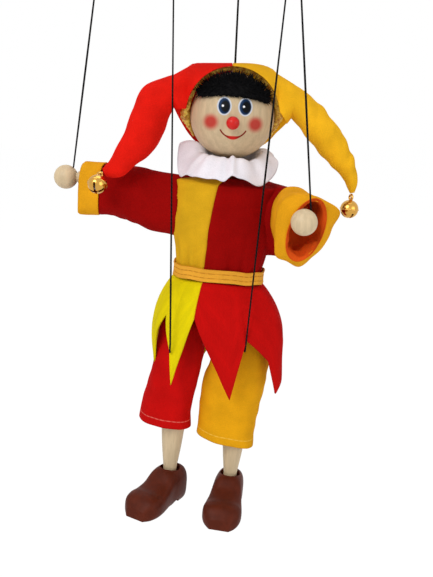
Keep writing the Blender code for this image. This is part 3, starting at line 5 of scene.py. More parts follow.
import bmesh
import bpy
from mathutils import Matrix, Vector, noise
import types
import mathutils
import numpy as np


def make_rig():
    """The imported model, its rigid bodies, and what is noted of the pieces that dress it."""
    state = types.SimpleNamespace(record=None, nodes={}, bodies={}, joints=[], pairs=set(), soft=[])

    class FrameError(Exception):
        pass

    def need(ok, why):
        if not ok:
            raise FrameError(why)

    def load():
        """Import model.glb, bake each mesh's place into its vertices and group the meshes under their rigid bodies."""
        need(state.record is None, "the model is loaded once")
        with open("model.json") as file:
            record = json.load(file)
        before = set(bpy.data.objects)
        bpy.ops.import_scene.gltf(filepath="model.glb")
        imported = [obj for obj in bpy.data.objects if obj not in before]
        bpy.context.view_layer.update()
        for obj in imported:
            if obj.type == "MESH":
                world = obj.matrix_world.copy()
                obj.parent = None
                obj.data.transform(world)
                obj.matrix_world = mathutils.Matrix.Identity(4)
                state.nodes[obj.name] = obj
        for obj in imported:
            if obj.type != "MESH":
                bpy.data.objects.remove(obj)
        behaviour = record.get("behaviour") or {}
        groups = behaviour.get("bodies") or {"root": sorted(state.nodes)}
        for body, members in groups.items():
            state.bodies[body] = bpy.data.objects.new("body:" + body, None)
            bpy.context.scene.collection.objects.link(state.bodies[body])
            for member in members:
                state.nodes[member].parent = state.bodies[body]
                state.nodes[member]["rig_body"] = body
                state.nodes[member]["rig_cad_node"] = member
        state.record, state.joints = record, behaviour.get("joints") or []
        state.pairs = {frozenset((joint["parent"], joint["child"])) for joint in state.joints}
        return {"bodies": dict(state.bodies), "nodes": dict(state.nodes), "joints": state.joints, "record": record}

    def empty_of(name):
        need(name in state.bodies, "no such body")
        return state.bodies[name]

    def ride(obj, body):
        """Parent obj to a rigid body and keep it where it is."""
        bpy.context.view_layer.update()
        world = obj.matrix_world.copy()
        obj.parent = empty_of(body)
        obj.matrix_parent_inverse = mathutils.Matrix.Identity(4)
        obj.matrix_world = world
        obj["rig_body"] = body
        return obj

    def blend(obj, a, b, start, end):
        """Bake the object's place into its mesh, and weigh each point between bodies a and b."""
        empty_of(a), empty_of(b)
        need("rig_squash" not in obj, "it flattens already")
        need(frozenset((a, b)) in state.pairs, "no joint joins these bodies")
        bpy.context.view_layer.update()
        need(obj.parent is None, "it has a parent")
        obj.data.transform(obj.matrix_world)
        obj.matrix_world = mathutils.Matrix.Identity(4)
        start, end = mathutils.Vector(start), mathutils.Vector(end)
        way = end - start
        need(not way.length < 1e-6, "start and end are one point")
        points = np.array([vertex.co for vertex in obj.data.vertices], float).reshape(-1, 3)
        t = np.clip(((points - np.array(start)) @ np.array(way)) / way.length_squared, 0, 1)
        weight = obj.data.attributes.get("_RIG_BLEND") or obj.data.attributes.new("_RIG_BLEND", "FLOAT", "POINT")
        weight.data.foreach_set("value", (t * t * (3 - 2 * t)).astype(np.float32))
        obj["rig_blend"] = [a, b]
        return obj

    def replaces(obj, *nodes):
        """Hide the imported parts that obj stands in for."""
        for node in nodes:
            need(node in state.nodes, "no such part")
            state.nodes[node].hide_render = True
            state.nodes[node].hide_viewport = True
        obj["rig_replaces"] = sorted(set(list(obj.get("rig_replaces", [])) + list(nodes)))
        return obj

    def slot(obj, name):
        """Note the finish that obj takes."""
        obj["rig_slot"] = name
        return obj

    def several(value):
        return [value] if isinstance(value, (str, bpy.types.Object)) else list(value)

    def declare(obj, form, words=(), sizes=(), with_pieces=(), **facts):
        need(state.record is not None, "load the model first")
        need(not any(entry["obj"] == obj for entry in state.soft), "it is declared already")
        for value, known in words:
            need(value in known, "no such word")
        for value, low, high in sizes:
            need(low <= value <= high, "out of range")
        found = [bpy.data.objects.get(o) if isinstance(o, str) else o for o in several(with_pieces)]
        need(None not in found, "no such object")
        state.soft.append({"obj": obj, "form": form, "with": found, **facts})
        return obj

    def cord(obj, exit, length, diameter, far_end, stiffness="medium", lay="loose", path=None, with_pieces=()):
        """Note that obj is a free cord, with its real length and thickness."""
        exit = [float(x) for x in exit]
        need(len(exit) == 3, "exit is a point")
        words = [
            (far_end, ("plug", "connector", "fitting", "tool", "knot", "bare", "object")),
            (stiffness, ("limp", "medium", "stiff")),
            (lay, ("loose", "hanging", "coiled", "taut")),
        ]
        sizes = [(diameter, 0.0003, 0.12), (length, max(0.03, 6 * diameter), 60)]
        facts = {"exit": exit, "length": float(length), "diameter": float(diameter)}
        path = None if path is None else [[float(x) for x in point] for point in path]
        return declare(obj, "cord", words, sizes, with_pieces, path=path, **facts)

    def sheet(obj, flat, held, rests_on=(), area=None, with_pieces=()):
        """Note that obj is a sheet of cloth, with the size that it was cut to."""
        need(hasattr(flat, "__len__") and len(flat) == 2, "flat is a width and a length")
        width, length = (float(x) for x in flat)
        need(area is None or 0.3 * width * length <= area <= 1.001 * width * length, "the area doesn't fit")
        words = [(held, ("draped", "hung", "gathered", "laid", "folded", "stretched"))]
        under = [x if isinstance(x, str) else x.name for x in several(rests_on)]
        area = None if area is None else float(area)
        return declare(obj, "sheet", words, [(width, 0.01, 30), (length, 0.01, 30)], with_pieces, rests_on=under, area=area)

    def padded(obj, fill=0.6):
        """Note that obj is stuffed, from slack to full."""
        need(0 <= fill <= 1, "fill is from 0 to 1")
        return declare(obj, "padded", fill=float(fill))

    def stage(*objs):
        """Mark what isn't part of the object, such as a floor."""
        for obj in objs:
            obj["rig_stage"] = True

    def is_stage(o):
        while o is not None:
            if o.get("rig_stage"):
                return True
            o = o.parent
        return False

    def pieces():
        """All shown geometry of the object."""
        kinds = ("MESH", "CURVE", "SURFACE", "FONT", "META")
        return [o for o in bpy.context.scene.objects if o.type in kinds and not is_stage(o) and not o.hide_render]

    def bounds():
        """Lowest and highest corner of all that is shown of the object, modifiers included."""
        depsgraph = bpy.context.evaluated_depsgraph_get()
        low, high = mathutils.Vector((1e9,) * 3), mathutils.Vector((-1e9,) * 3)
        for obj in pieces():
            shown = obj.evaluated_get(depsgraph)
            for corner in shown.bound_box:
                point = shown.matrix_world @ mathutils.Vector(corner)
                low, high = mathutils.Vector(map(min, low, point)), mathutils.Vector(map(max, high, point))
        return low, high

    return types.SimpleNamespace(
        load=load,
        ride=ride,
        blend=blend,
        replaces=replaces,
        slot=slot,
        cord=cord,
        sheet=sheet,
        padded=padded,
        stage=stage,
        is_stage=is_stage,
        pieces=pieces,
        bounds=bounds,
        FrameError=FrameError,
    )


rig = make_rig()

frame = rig.load()
CAD_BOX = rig.bounds()

# Pose and main sizes, as in the part's source, in metres
HEAD_POSITION = Vector((-0.003, 0.0, -0.072))
HEAD_RADIUS = 0.0175
NECK_DROP = 0.0223
SHOULDER_SPREAD = 0.0235
SHOULDER_DROP = 0.0072
ARM_LENGTH = 0.0455
HAND_RADIUS = 0.0051
ARM_TENON_RADIUS = 0.0023
ARM_TENON_END = 0.0444
HIP_SPREAD = 0.0140
HIP_DROP = 0.0550
THIGH_LENGTH = 0.0380
SHIN_LENGTH = 0.0430
CLOTH = 0.0008
FIT = 0.0003


def tilt(degrees):
    return Matrix.Rotation(math.radians(degrees), 4, "Y")


def place(location):
    return Matrix.Translation(location)


HEAD = place(HEAD_POSITION) @ tilt(3)
HAT = place(HEAD_POSITION)
TORSO = place(HEAD @ Vector((0, 0, -NECK_DROP))) @ tilt(6)
LEFT_LEG = place(TORSO @ Vector((-HIP_SPREAD, 0, -HIP_DROP))) @ tilt(4.9)
RIGHT_LEG = place(TORSO @ Vector((HIP_SPREAD, 0, -HIP_DROP))) @ tilt(5.2)
ANKLE = place((0, 0, -THIGH_LENGTH - SHIN_LENGTH))
LEFT_SHOE = LEFT_LEG @ ANKLE @ Matrix.Rotation(math.radians(-32), 4, "Z")
RIGHT_SHOE = RIGHT_LEG @ ANKLE @ Matrix.Rotation(math.radians(-9), 4, "Z")
CONTROL = Matrix.Rotation(math.radians(-11.5), 4, "Z")


def arm_matrix(side, direction):
    """An arm's frame: origin on the shoulder link, +X along the arm, +Z up."""
    along = Vector(direction).normalized()
    across = Vector((0, 0, 1)).cross(along).normalized()
    up = along.cross(across)
    turned = Matrix((along, across, up)).transposed().to_4x4()
    return place(TORSO @ Vector((side * SHOULDER_SPREAD, 0, -SHOULDER_DROP))) @ turned


LEFT_ARM = arm_matrix(-1, (-0.998, 0.066, 0.031))
RIGHT_ARM = arm_matrix(1, (0.110, -0.985, -0.130))


def blend(a, b, t):
    return a + (b - a) * t


def ease(t):
    t = min(max(t, 0.0), 1.0)
    return t * t * (3 - 2 * t)


def rounded(angle, power):
    """A point on a unit superellipse."""
    c, s = math.cos(angle), math.sin(angle)
    return math.copysign(abs(c) ** (2 / power), c), math.copysign(abs(s) ** (2 / power), s)


def circle(count):
    """Angles evenly spaced round a full turn."""
    return [2 * math.pi * j / count for j in range(count)]


def ripple(point, size, seed=0.0):
    """Smooth noise from -1 to 1 with features of about that size."""
    return noise.noise(point / size + Vector((seed, 2 * seed, 0.0)))


def smooth_line(stations, t):
    """A value on a smooth curve through stations, each a tuple of numbers."""
    last = len(stations) - 1
    spot = min(max(t, 0.0), 1.0) * last
    i = min(int(spot), last - 1)
    f = spot - i
    before, a, b, after = (stations[min(max(k, 0), last)] for k in (i - 1, i, i + 1, i + 2))
    out = []
    for p0, p1, p2, p3 in zip(before, a, b, after):
        rise = (p2 - p0) / 2
        fall = (p3 - p1) / 2
        gap = p2 - p1
        out.append(p1 + rise * f + (3 * gap - 2 * rise - fall) * f * f + (rise + fall - 2 * gap) * f ** 3)
    return out


# Materials


def srgb(red, green, blue):
    """A colour in linear light from its 8-bit display values."""
    def lift(value):
        share = value / 255
        return share / 12.92 if share <= 0.04045 else ((share + 0.055) / 1.055) ** 2.4
    return (lift(red), lift(green), lift(blue), 1.0)


class Nodes:
    """A small builder for the nodes of a material or a world."""

    def __init__(self, owner):
        owner.use_nodes = True
        self.owner = owner
        self.tree = owner.node_tree

    def add(self, kind, inputs=None, **settings):
        node = self.tree.nodes.new("ShaderNode" + kind)
        for key, value in settings.items():
            setattr(node, key, value)
        for key, value in (inputs or {}).items():
            self.feed(node, key, value)
        return node

    def feed(self, node, key, value):
        """Link a socket, or set it to a constant."""
        if isinstance(value, bpy.types.NodeSocket):
            self.tree.links.new(value, node.inputs[key])
        else:
            node.inputs[key].default_value = value

    def principled(self, **values):
        """Feed the material's own shader and return the material."""
        for key, value in values.items():
            self.feed(self.tree.nodes["Principled BSDF"], key.replace("_", " "), value)
        return self.owner

    def math(self, operation, a, b=0.0):
        node = self.add("Math", {0: a, 1: b}, operation=operation)
        return node.outputs[0]

    def mix(self, factor, a, b):
        node = self.add("Mix", {0: factor, 6: a, 7: b}, data_type="RGBA")
        return node.outputs[2]

    def noise(self, vector, scale, detail=3.0, rough=0.55):
        node = self.add("TexNoise", {"Vector": vector, "Scale": scale, "Detail": detail, "Roughness": rough})
        return node.outputs[0]

    def ramp(self, value, low, high):
        node = self.add("MapRange", {0: value, 1: low, 2: high}, interpolation_type="SMOOTHSTEP")
        return node.outputs[0]

    def bump(self, height, strength, distance):
        node = self.add("Bump", {"Height": height, "Strength": strength, "Distance": distance})
        return node.outputs[0]

    def coordinates(self, kind, scale=(1, 1, 1)):
        source = self.add("TexCoord").outputs[kind]
        node = self.add("Mapping", {"Vector": source, "Scale": scale})
        return node.outputs[0]


def new_finish(name):
    return Nodes(bpy.data.materials.new(name))


def shade(colour, factor):
    return (colour[0] * factor, colour[1] * factor, colour[2] * factor, 1.0)


def cloth_material(name, colour, sewn=None, thread=3400, rough=0.85):
    """Woven cotton: crossed threads, nap and uneven tone. sewn gives the places and colour of thin lines: sewn
    stitching on the trousers, and painted shade of two grooves on the belt.
    """
    n = new_finish(name)
    uv = n.coordinates("UV")
    weave = {"Vector": uv, "Scale": thread / 6, "Distortion": 1.2, "Detail": 1.0}
    warp = n.add("TexWave", weave, bands_direction="X")
    weft = n.add("TexWave", weave, bands_direction="Y")
    woven = n.math("MULTIPLY", warp.outputs[1], weft.outputs[1])
    nap = n.noise(uv, thread * 0.6, 4.0)
    broad = n.noise(uv, 90, 3.0)
    tone = n.math("ADD", n.math("MULTIPLY", broad, 0.6), n.math("MULTIPLY", nap, 0.4))
    base = n.mix(n.ramp(tone, 0.3, 0.7), shade(colour, 0.84), shade(colour, 1.10))
    height = n.math("ADD", woven, n.math("MULTIPLY", nap, 0.8))
    if sewn:
        places, stitch_and_groove_shade_colour = sewn
        split = n.add("SeparateXYZ", {0: uv})
        dash = n.add("TexWave", {"Vector": uv, "Scale": 130, "Distortion": 0.0}, bands_direction="X")
        strength = n.math("ADD", 0.35, n.math("MULTIPLY", n.ramp(dash.outputs[1], 0.2, 0.4), 0.35))
        # Each line is mixed into the colour and pressed in as a bump groove; the belt's darker lines are painted
        # groove shade
        for spot in places:
            off = n.math("ABSOLUTE", n.math("SUBTRACT", split.outputs[1], spot))
            line = n.math("SUBTRACT", 1.0, n.ramp(off, 0.0001, 0.0003))
            base = n.mix(n.math("MULTIPLY", line, strength), base, stitch_and_groove_shade_colour)
            height = n.math("SUBTRACT", height, n.math("MULTIPLY", line, 1.5))
    return n.principled(Base_Color=base, Roughness=rough, Sheen_Weight=0.10, Sheen_Roughness=0.4,
                        Sheen_Tint=shade(colour, 1.0), Specular_IOR_Level=0.06,
                        Normal=n.bump(height, 0.35, 0.00012))


def wood_tones(n, colour, along=(1, 1, 0.07), scale=420):
    """Base colour and bump height of pale turned wood with its grain along one axis."""
    point = n.coordinates("Object", along)
    streak = n.noise(point, scale, 4.0, 0.6)
    fine = n.noise(point, scale * 5, 2.0)
    tone = n.math("ADD", n.math("MULTIPLY", streak, 0.7), n.math("MULTIPLY", fine, 0.3))
    base = n.mix(n.ramp(tone, 0.32, 0.68), shade(colour, 0.86), shade(colour, 1.06))
    return base, tone


def wood_material(name, colour, along=(1, 1, 0.07), rough=0.48):
    n = new_finish(name)
    base, tone = wood_tones(n, colour, along)
    return n.principled(Base_Color=base, Roughness=rough, Specular_IOR_Level=0.4,
                        Normal=n.bump(tone, 0.12, 0.0002))


def paint_material(name, colour, rough, gloss, coat=0.0, size=260):
    """Brushed paint or lacquer with a slightly uneven coat."""
    n = new_finish(name)
    point = n.coordinates("Object")
    tone = n.noise(point, size, 4.0)
    base = n.mix(n.ramp(tone, 0.3, 0.7), shade(colour, 0.85), shade(colour, 1.12))
    fine = n.noise(point, size * 8, 2.0)
    return n.principled(Base_Color=base, Roughness=rough, Specular_IOR_Level=gloss, Coat_Weight=coat,
                        Coat_Roughness=0.12, Normal=n.bump(fine, 0.10, 0.0001))


def metal_material(name, colour, rough, size=500, strength=0.05):
    n = new_finish(name)
    tone = n.noise(n.coordinates("Object"), size, 3.0)
    base = n.mix(tone, shade(colour, 0.85), colour)
    uneven = n.math("ADD", rough, n.math("MULTIPLY", tone, 0.1))
    return n.principled(Base_Color=base, Metallic=1.0, Roughness=uneven,
                        Normal=n.bump(tone, strength, 0.0002))


def lame_material():
    """Gold ribbon: crinkled foil threads that sparkle; the pale patches of its colour are partly painted sparkle
    highlights, in place of a metal's reflections.
    """
    n = new_finish("gold_ribbon")
    point = n.coordinates("Object")
    crinkle = n.add("TexVoronoi", {"Vector": point, "Scale": 1500})
    tone = n.noise(point, 700, 4.0)
    # Random tone from dark gold to pale gold: uneven foil, with the pale patches as painted sparkle highlights
    base = n.mix(n.ramp(tone, 0.35, 0.65), srgb(196, 126, 12), srgb(255, 224, 96))
    return n.principled(Base_Color=base, Metallic=0.10, Roughness=0.40,
                        Normal=n.bump(n.math("ADD", crinkle.outputs[0], tone), 0.9, 0.0004))


def thread_material():
    """Black twisted thread: slanted strands along the cord."""
    n = new_finish("black_thread")
    uv = n.coordinates("UV")
    strand = n.add("TexWave", {"Vector": uv, "Scale": 420, "Distortion": 0.3}, bands_direction="DIAGONAL")
    base = n.mix(strand.outputs[1], srgb(4, 4, 5), srgb(26, 25, 26))
    return n.principled(Base_Color=base, Roughness=0.8, Specular_IOR_Level=0.1,
                        Normal=n.bump(strand.outputs[1], 0.6, 0.0002))


def plush_material():
    n = new_finish("black_plush")
    tone = n.noise(n.coordinates("Object"), 900, 3.0)
    base = n.mix(tone, srgb(3, 3, 4), srgb(15, 14, 16))
    return n.principled(Base_Color=base, Roughness=0.75, Specular_IOR_Level=0.08)


RED = srgb(196, 12, 10)
HAT_RED = srgb(226, 26, 14)
LEMON = srgb(232, 210, 8)
JACKET_RED_CLOTH = cloth_material("jacket_red", srgb(150, 5, 4))
SKIRT_RED_CLOTH = cloth_material("skirt_red", RED)
HAT_RED_CLOTH = cloth_material("hat_red", HAT_RED)
HAT_YELLOW_CLOTH = cloth_material("hat_yellow", srgb(244, 182, 30))
YELLOW_CLOTH = cloth_material("jacket_yellow", srgb(220, 168, 28))
CUFF_CLOTH = cloth_material("cuff_yellow", srgb(232, 162, 24))
LINING_CLOTH = cloth_material("cuff_lining", srgb(220, 84, 22))
LEMON_CLOTH = cloth_material("skirt_lemon", LEMON)
# Two darker lines along the belt: painted shade of grooves, over shallow bump grooves
BELT_GROOVE_SHADE = ((0.0016, 0.0036), srgb(176, 104, 20))
BELT_CLOTH = cloth_material("belt_ribbon", srgb(234, 166, 52), BELT_GROOVE_SHADE, 4200, 0.6)
WHITE_CLOTH = cloth_material("white_satin", srgb(244, 240, 246), None, 4600, 0.5)
RED_TROUSERS = cloth_material("red_trousers", RED, ((0.0034,), srgb(235, 120, 105)))
YELLOW_TROUSERS = cloth_material("yellow_trousers", srgb(230, 162, 18), ((0.0034,), srgb(250, 200, 80)))
PALE_WOOD = wood_material("pale_wood", srgb(214, 190, 152))
ARM_WOOD = wood_material("arm_wood", srgb(214, 190, 152), (0.07, 1, 1))
BAR_WOOD = wood_material("bar_wood", srgb(206, 176, 130), (1, 0.07, 1))
CROSS_WOOD = wood_material("cross_wood", srgb(206, 176, 130), (0.07, 1, 1))
BROWN_PAINT = paint_material("brown_paint", srgb(88, 34, 18), 0.48, 0.10)
RED_LACQUER = paint_material("red_lacquer", srgb(204, 22, 16), 0.40, 0.25, 0.10)
BRASS = metal_material("brass", srgb(216, 164, 78), 0.14)
STEEL = metal_material("steel_wire", srgb(176, 176, 178), 0.25)
LAME = lame_material()
THREAD = thread_material()
PLUSH = plush_material()


# Face, painted on the head ball in its own coordinates: positions across and up, in metres
EYES = ((-0.0037, 0.0043), (0.0047, 0.0043))
EYE_WHITE = (0.0029, 0.0036)
IRIS = (0.00235, 0.0031)
PUPIL = (0.0018, 0.0024)
GLINT = 0.00045
CHEEKS = ((-0.0088, -0.0022), (0.0091, -0.0024))
CHEEK_CORE = 0.0014
CHEEK_EDGE = 0.0042
MOUTH_CENTRE = (0.0003, -0.0022)
MOUTH_RADIUS = 0.0059
MOUTH_HALF_ANGLE = 62
MOUTH_LINE = 0.00030
LIP = 0.00075


def face_material():
    """Pale turned wood with the eyes, cheeks and smile painted on its front."""
    n = new_finish("painted_head")
    base, tone = wood_tones(n, srgb(208, 184, 148), (1, 1, 0.05), 520)
    split = n.add("SeparateXYZ", {0: n.add("TexCoord").outputs["Object"]})
    across, depth, up = split.outputs[0], split.outputs[1], split.outputs[2]
    front = n.math("LESS_THAN", depth, 0.0)

    def oval(centre, half):
        """Distance from a point in units of an oval's half axes."""
        x = n.math("DIVIDE", n.math("SUBTRACT", across, centre[0]), half[0])
        z = n.math("DIVIDE", n.math("SUBTRACT", up, centre[1]), half[1])
        return n.math("SQRT", n.math("ADD", n.math("MULTIPLY", x, x), n.math("MULTIPLY", z, z)))

    def paint(colour, mask, strength=1.0):
        return n.mix(n.math("MULTIPLY", n.math("MULTIPLY", mask, front), strength), base, colour)

    def inside(distance, soft=0.06):
        return n.math("SUBTRACT", 1.0, n.ramp(distance, 1.0 - soft, 1.0 + soft))

    for centre in CHEEKS:
        reach = oval(centre, (CHEEK_EDGE, CHEEK_EDGE))
        blush = n.math("SUBTRACT", 1.0, n.ramp(reach, CHEEK_CORE / CHEEK_EDGE, 1.0))
        base = paint(srgb(190, 40, 38), blush, 0.92)
    for centre in EYES:
        base = paint(srgb(204, 210, 220), inside(oval(centre, EYE_WHITE)))
        base = paint(srgb(26, 52, 88), inside(oval(centre, IRIS)))
        pupil = (centre[0] + 0.0004, centre[1] - 0.0001)
        base = paint(srgb(5, 7, 12), inside(oval(pupil, PUPIL), 0.25))
        glint = (centre[0] - 0.0006, centre[1] + 0.0001)
        base = paint(srgb(250, 250, 252), inside(oval(glint, (GLINT, GLINT)), 0.25))

    x = n.math("SUBTRACT", across, MOUTH_CENTRE[0])
    z = n.math("SUBTRACT", up, MOUTH_CENTRE[1])
    radius = n.math("SQRT", n.math("ADD", n.math("MULTIPLY", x, x), n.math("MULTIPLY", z, z)))
    angle = n.math("ABSOLUTE", n.math("ARCTAN2", x, n.math("MULTIPLY", z, -1.0)))
    swing = n.math("DIVIDE", angle, math.radians(MOUTH_HALF_ANGLE))
    middle = n.math("SUBTRACT", 1.0, n.ramp(swing, 0.0, 0.55))
    thick = n.math("ADD", MOUTH_LINE, n.math("MULTIPLY", middle, LIP - MOUTH_LINE))
    off = n.math("DIVIDE", n.math("ABSOLUTE", n.math("SUBTRACT", radius, MOUTH_RADIUS)), thick)
    line = n.math("MULTIPLY", inside(off, 0.3), inside(swing, 0.04))
    base = paint(n.mix(middle, srgb(128, 26, 16), srgb(206, 40, 34)), line)
    return n.principled(Base_Color=base, Roughness=0.50, Specular_IOR_Level=0.08,
                        Normal=n.bump(tone, 0.10, 0.0002))


# Building shapes
WELD = 0.000005
TURNED_SHARP = math.radians(40)
ON_AXIS = 1e-7
# Last angle of an arc before the single point on the axis
NEAR_POLE = math.pi / 2 - 0.02


def add_object(name, verts, faces, material, matrix, uvs=None):
    """A smooth mesh object in a frame. uvs holds one coordinate per vertex."""
    mesh = bpy.data.meshes.new(name)
    mesh.from_pydata([tuple(v) for v in verts], [], faces)
    if uvs:
        layer = mesh.uv_layers.new(name="UVMap")
        for loop in mesh.loops:
            layer.data[loop.index].uv = uvs[loop.vertex_index]
    mesh.materials.append(material)
    mesh.validate()
    mesh.shade_smooth()
    made = bpy.data.objects.new(name, mesh)
    bpy.context.scene.collection.objects.link(made)
    made.matrix_world = matrix
    return made


def face_out(made, weld=False):
    """Turn the faces outward. weld first joins the points that meet at a seam."""
    bm = bmesh.new()
    bm.from_mesh(made.data)
    if weld:
        bmesh.ops.remove_doubles(bm, verts=bm.verts, dist=WELD)
    bmesh.ops.recalc_face_normals(bm, faces=bm.faces)
    bm.to_mesh(made.data)
    bm.free()


def quads(rows, columns, span):
    """Faces between rows of points. span is the number of points in a row, round which the faces close."""
    for i in range(rows):
        for j in range(columns):
            k = (j + 1) % span
            yield (i * span + j, i * span + k, (i + 1) * span + k, (i + 1) * span + j)


def cloth_piece(name, point, rows, columns, wrap, material, matrix, size, hole=None, thickness=CLOTH):
    """A sewn sheet. point(u, v) gives its outer face, size its real width and length, hole what is cut."""
    verts, uvs = [], []
    for i in range(rows + 1):
        for j in range(columns + 1):
            u, v = j / columns, i / rows
            verts.append(point(u, v))
            uvs.append((u * size[0], (1 - v) * size[1]))
    faces = list(quads(rows, columns, columns + 1))
    if hole:
        faces = [corners for corners in faces if not hole(sum((verts[k] for k in corners), Vector()) / 4)]
    made = add_object(name, verts, faces, material, matrix, uvs)
    face_out(made, wrap)
    wall = made.modifiers.new("wall", "SOLIDIFY")
    wall.thickness = thickness
    wall.offset = -1.0
    return made


def turned(name, profile, material, matrix, segments=64):
    """A turned shape about Z from (radius, height) points that start and end on the axis, or form a ring."""
    verts, faces, rows = [], [], []
    for radius, height in profile:
        count = 1 if radius < ON_AXIS else segments
        rows.append(range(len(verts), len(verts) + count))
        for a in circle(segments)[:count]:
            verts.append(Vector((radius * math.cos(a), radius * math.sin(a), height)))
    pairs = list(zip(rows, rows[1:]))
    if profile[0][0] > ON_AXIS:
        pairs.append((rows[-1], rows[0]))
    for low, high in pairs:
        for j in range(segments):
            k = (j + 1) % segments
            corners = (low[j % len(low)], low[k % len(low)], high[k % len(high)], high[j % len(high)])
            faces.append(tuple(dict.fromkeys(corners)))
    made = add_object(name, verts, faces, material, matrix)
    face_out(made)
    made.data.set_sharp_from_angle(angle=TURNED_SHARP)
    return made


def arc(radius, centre, start, end, steps):
    """Points of (radius, height) on an arc. Angles are counted from the equator."""
    angles = [start + (end - start) * i / steps for i in range(steps + 1)]
    return [(max(radius * math.cos(a), 0.0), centre + radius * math.sin(a)) for a in angles]


def ball(radius, centre, last, steps):
    """Profile of a whole ball for turning. last is the angle from which it closes to the axis."""
    return [(0, centre - radius)] + arc(radius, centre, -last, last, steps) + [(0, centre + radius)]


def rod(radius, low, high):
    """Profile of a plain cylinder for turning."""
    return [(0, low), (radius, low), (radius, high), (0, high)]


def loft(name, rings, material, matrix, uvs=None):
    """A solid through rings of equal count, closed at both ends."""
    count = len(rings[0])
    verts = [p for ring in rings for p in ring]
    faces = list(quads(len(rings) - 1, count, count))
    faces += [tuple(range(count)), tuple(range(len(verts) - count, len(verts)))]
    made = add_object(name, verts, faces, material, matrix, uvs)
    face_out(made)
    return made


def slab(name, outline, half_width, material, matrix):
    """A flat block: an outline of depths and heights, drawn out to both sides."""
    rings = [[Vector((x, y, z)) for y, z in outline] for x in (-half_width, half_width)]
    return loft(name, rings, material, matrix)


def subtract(made, tools, sharp):
    """Cut shapes out of an object. Edges over an angle in degrees are left sharp."""
    for tool in tools:
        modifier = made.modifiers.new("cut", "BOOLEAN")
        modifier.operation = "DIFFERENCE"
        modifier.solver = "EXACT"
        modifier.object = tool
    bpy.context.view_layer.update()
    graph = bpy.context.evaluated_depsgraph_get()
    mesh = bpy.data.meshes.new_from_object(made.evaluated_get(graph))
    made.modifiers.clear()
    made.data = mesh
    mesh.shade_smooth()
    mesh.set_sharp_from_angle(angle=math.radians(sharp))


def drop(*tools):
    for tool in tools:
        bpy.data.objects.remove(tool, do_unlink=True)


def dress(made, slot, nodes, body=None):
    """Tie a piece to its CAD nodes, its finish and its body."""
    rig.slot(made, slot)
    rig.replaces(made, *nodes)
    if body:
        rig.ride(made, body)
    return made


# Head, hat and bells
HAT_WALL = 0.0030
HAT_TOP = 0.0214
HAT_NECK_RADIUS = 0.0115
HAT_NECK_TOP = -0.0120
CROWN_HOLE_RADIUS = 0.0020
FACE_HALF_WIDTH = 0.0193
FACE_HALF_HEIGHT = 0.0200
FACE_EDGE = -0.0026
FACE_SLOPE = 0.78
FACE_SLOPE_START = 0.0032
# Where the cut behind the cheeks ends at its top: distance across and height
CHEEK_CUT = ((-0.0242, 0.0032), (0.0185, 0.0032), (0.0246, -0.0060))
HOOD_WIDTH = 0.0185
HOOD_RISE = 0.0010
HOOD_SETBACK = 0.0008
HOOD_SHOULDER_RISE = {-1: 0.0099, 1: 0.0072}
TRIM_SWEEP = math.radians(236)
TRIM_FLAT = (0.080, 0.0036)
TRIM_WIDTH = 0.0026
TRIM_RISE = 0.0008
TRIM_BUNCH_WIDTH = 0.0042
TRIM_PUFF = 0.0007
TRIM_LEAN = 0.0010
# Horn stations from the head's centre: upper edge across and up, lower edge, half depth, distance forward
LEFT_HORN = (
    (-0.0240, 0.0168, -0.0242, 0.0034, 0.0085, 0.0010),
    (-0.0325, 0.0142, -0.0265, -0.0015, 0.0080, 0.0030),
    (-0.0385, 0.0095, -0.0295, -0.0090, 0.0075, 0.0060),
    (-0.0425, -0.0020, -0.0345, -0.0150, 0.0062, 0.0090),
    (-0.0462, -0.0110, -0.0402, -0.0202, 0.0050, 0.0115),
    (-0.0500, -0.0172, -0.0458, -0.0242, 0.0036, 0.0130),
    (-0.0530, -0.0205, -0.0512, -0.0240, 0.0016, 0.0135),
)
RIGHT_HORN = (
    (0.0250, 0.0132, 0.0245, -0.0010, 0.0085, 0.0),
    (0.0325, 0.0080, 0.0285, -0.0055, 0.0080, 0.0),
    (0.0400, 0.0006, 0.0345, -0.0130, 0.0072, 0.0),
    (0.0462, -0.0078, 0.0408, -0.0197, 0.0060, 0.0),
    (0.0510, -0.0175, 0.0458, -0.0253, 0.0046, 0.0),
    (0.0530, -0.0262, 0.0487, -0.0298, 0.0030, 0.0),
    (0.0520, -0.0318, 0.0500, -0.0322, 0.0014, 0.0),
)


def hood_ring(x, side, count):
    """Cross section of the hood at a distance from its middle seam."""
    outside = HEAD_RADIUS + HAT_WALL
    reach = math.sqrt(outside ** 2 - min(x, outside * 0.92) ** 2)
    lift = HOOD_RISE + HOOD_SHOULDER_RISE[side] * (x / HOOD_WIDTH) ** 2
    ring = []
    for a in circle(count):
        up = math.sin(a)
        height = min(reach * up + (lift * ease(up * 4) if up > 0 else 0.0), HAT_TOP)
        ring.append(Vector((side * (x + FIT / 2), HOOD_SETBACK + reach * math.cos(a), height)))
    return ring


def horn_ring(values, count, share):
    top_x, top_z, low_x, low_z, depth, forward = values
    middle = Vector(((top_x + low_x) / 2, -forward, (top_z + low_z) / 2))
    along = Vector(((top_x - low_x) / 2, 0, (top_z - low_z) / 2))
    ring = []
    for a in circle(count):
        point = middle + along * math.sin(a) + Vector((0, depth * math.cos(a), 0))
        crease = ripple(Vector((point.x * 1.6, point.y * 0.5, point.z * 0.9)), 0.0085, 3.0 * share)
        dent = 0.0012 * math.sin(math.pi * share) * crease
        ring.append(point + (point - middle).normalized() * dent)
    return ring


def face_edge(z):
    """Depth of the hat's front edge at a height. Below the temples it runs back behind the cheeks."""
    return FACE_EDGE + FACE_SLOPE * max(FACE_SLOPE_START - z, 0.0)


def uv_from_position(made):
    """Cloth coordinates straight from a shape's own width and height."""
    mesh = made.data
    layer = mesh.uv_layers.get("UVMap") or mesh.uv_layers.new(name="UVMap")
    for loop in mesh.loops:
        spot = mesh.vertices[loop.vertex_index].co
        layer.data[loop.index].uv = (spot.x, spot.z + 0.3 * spot.y)


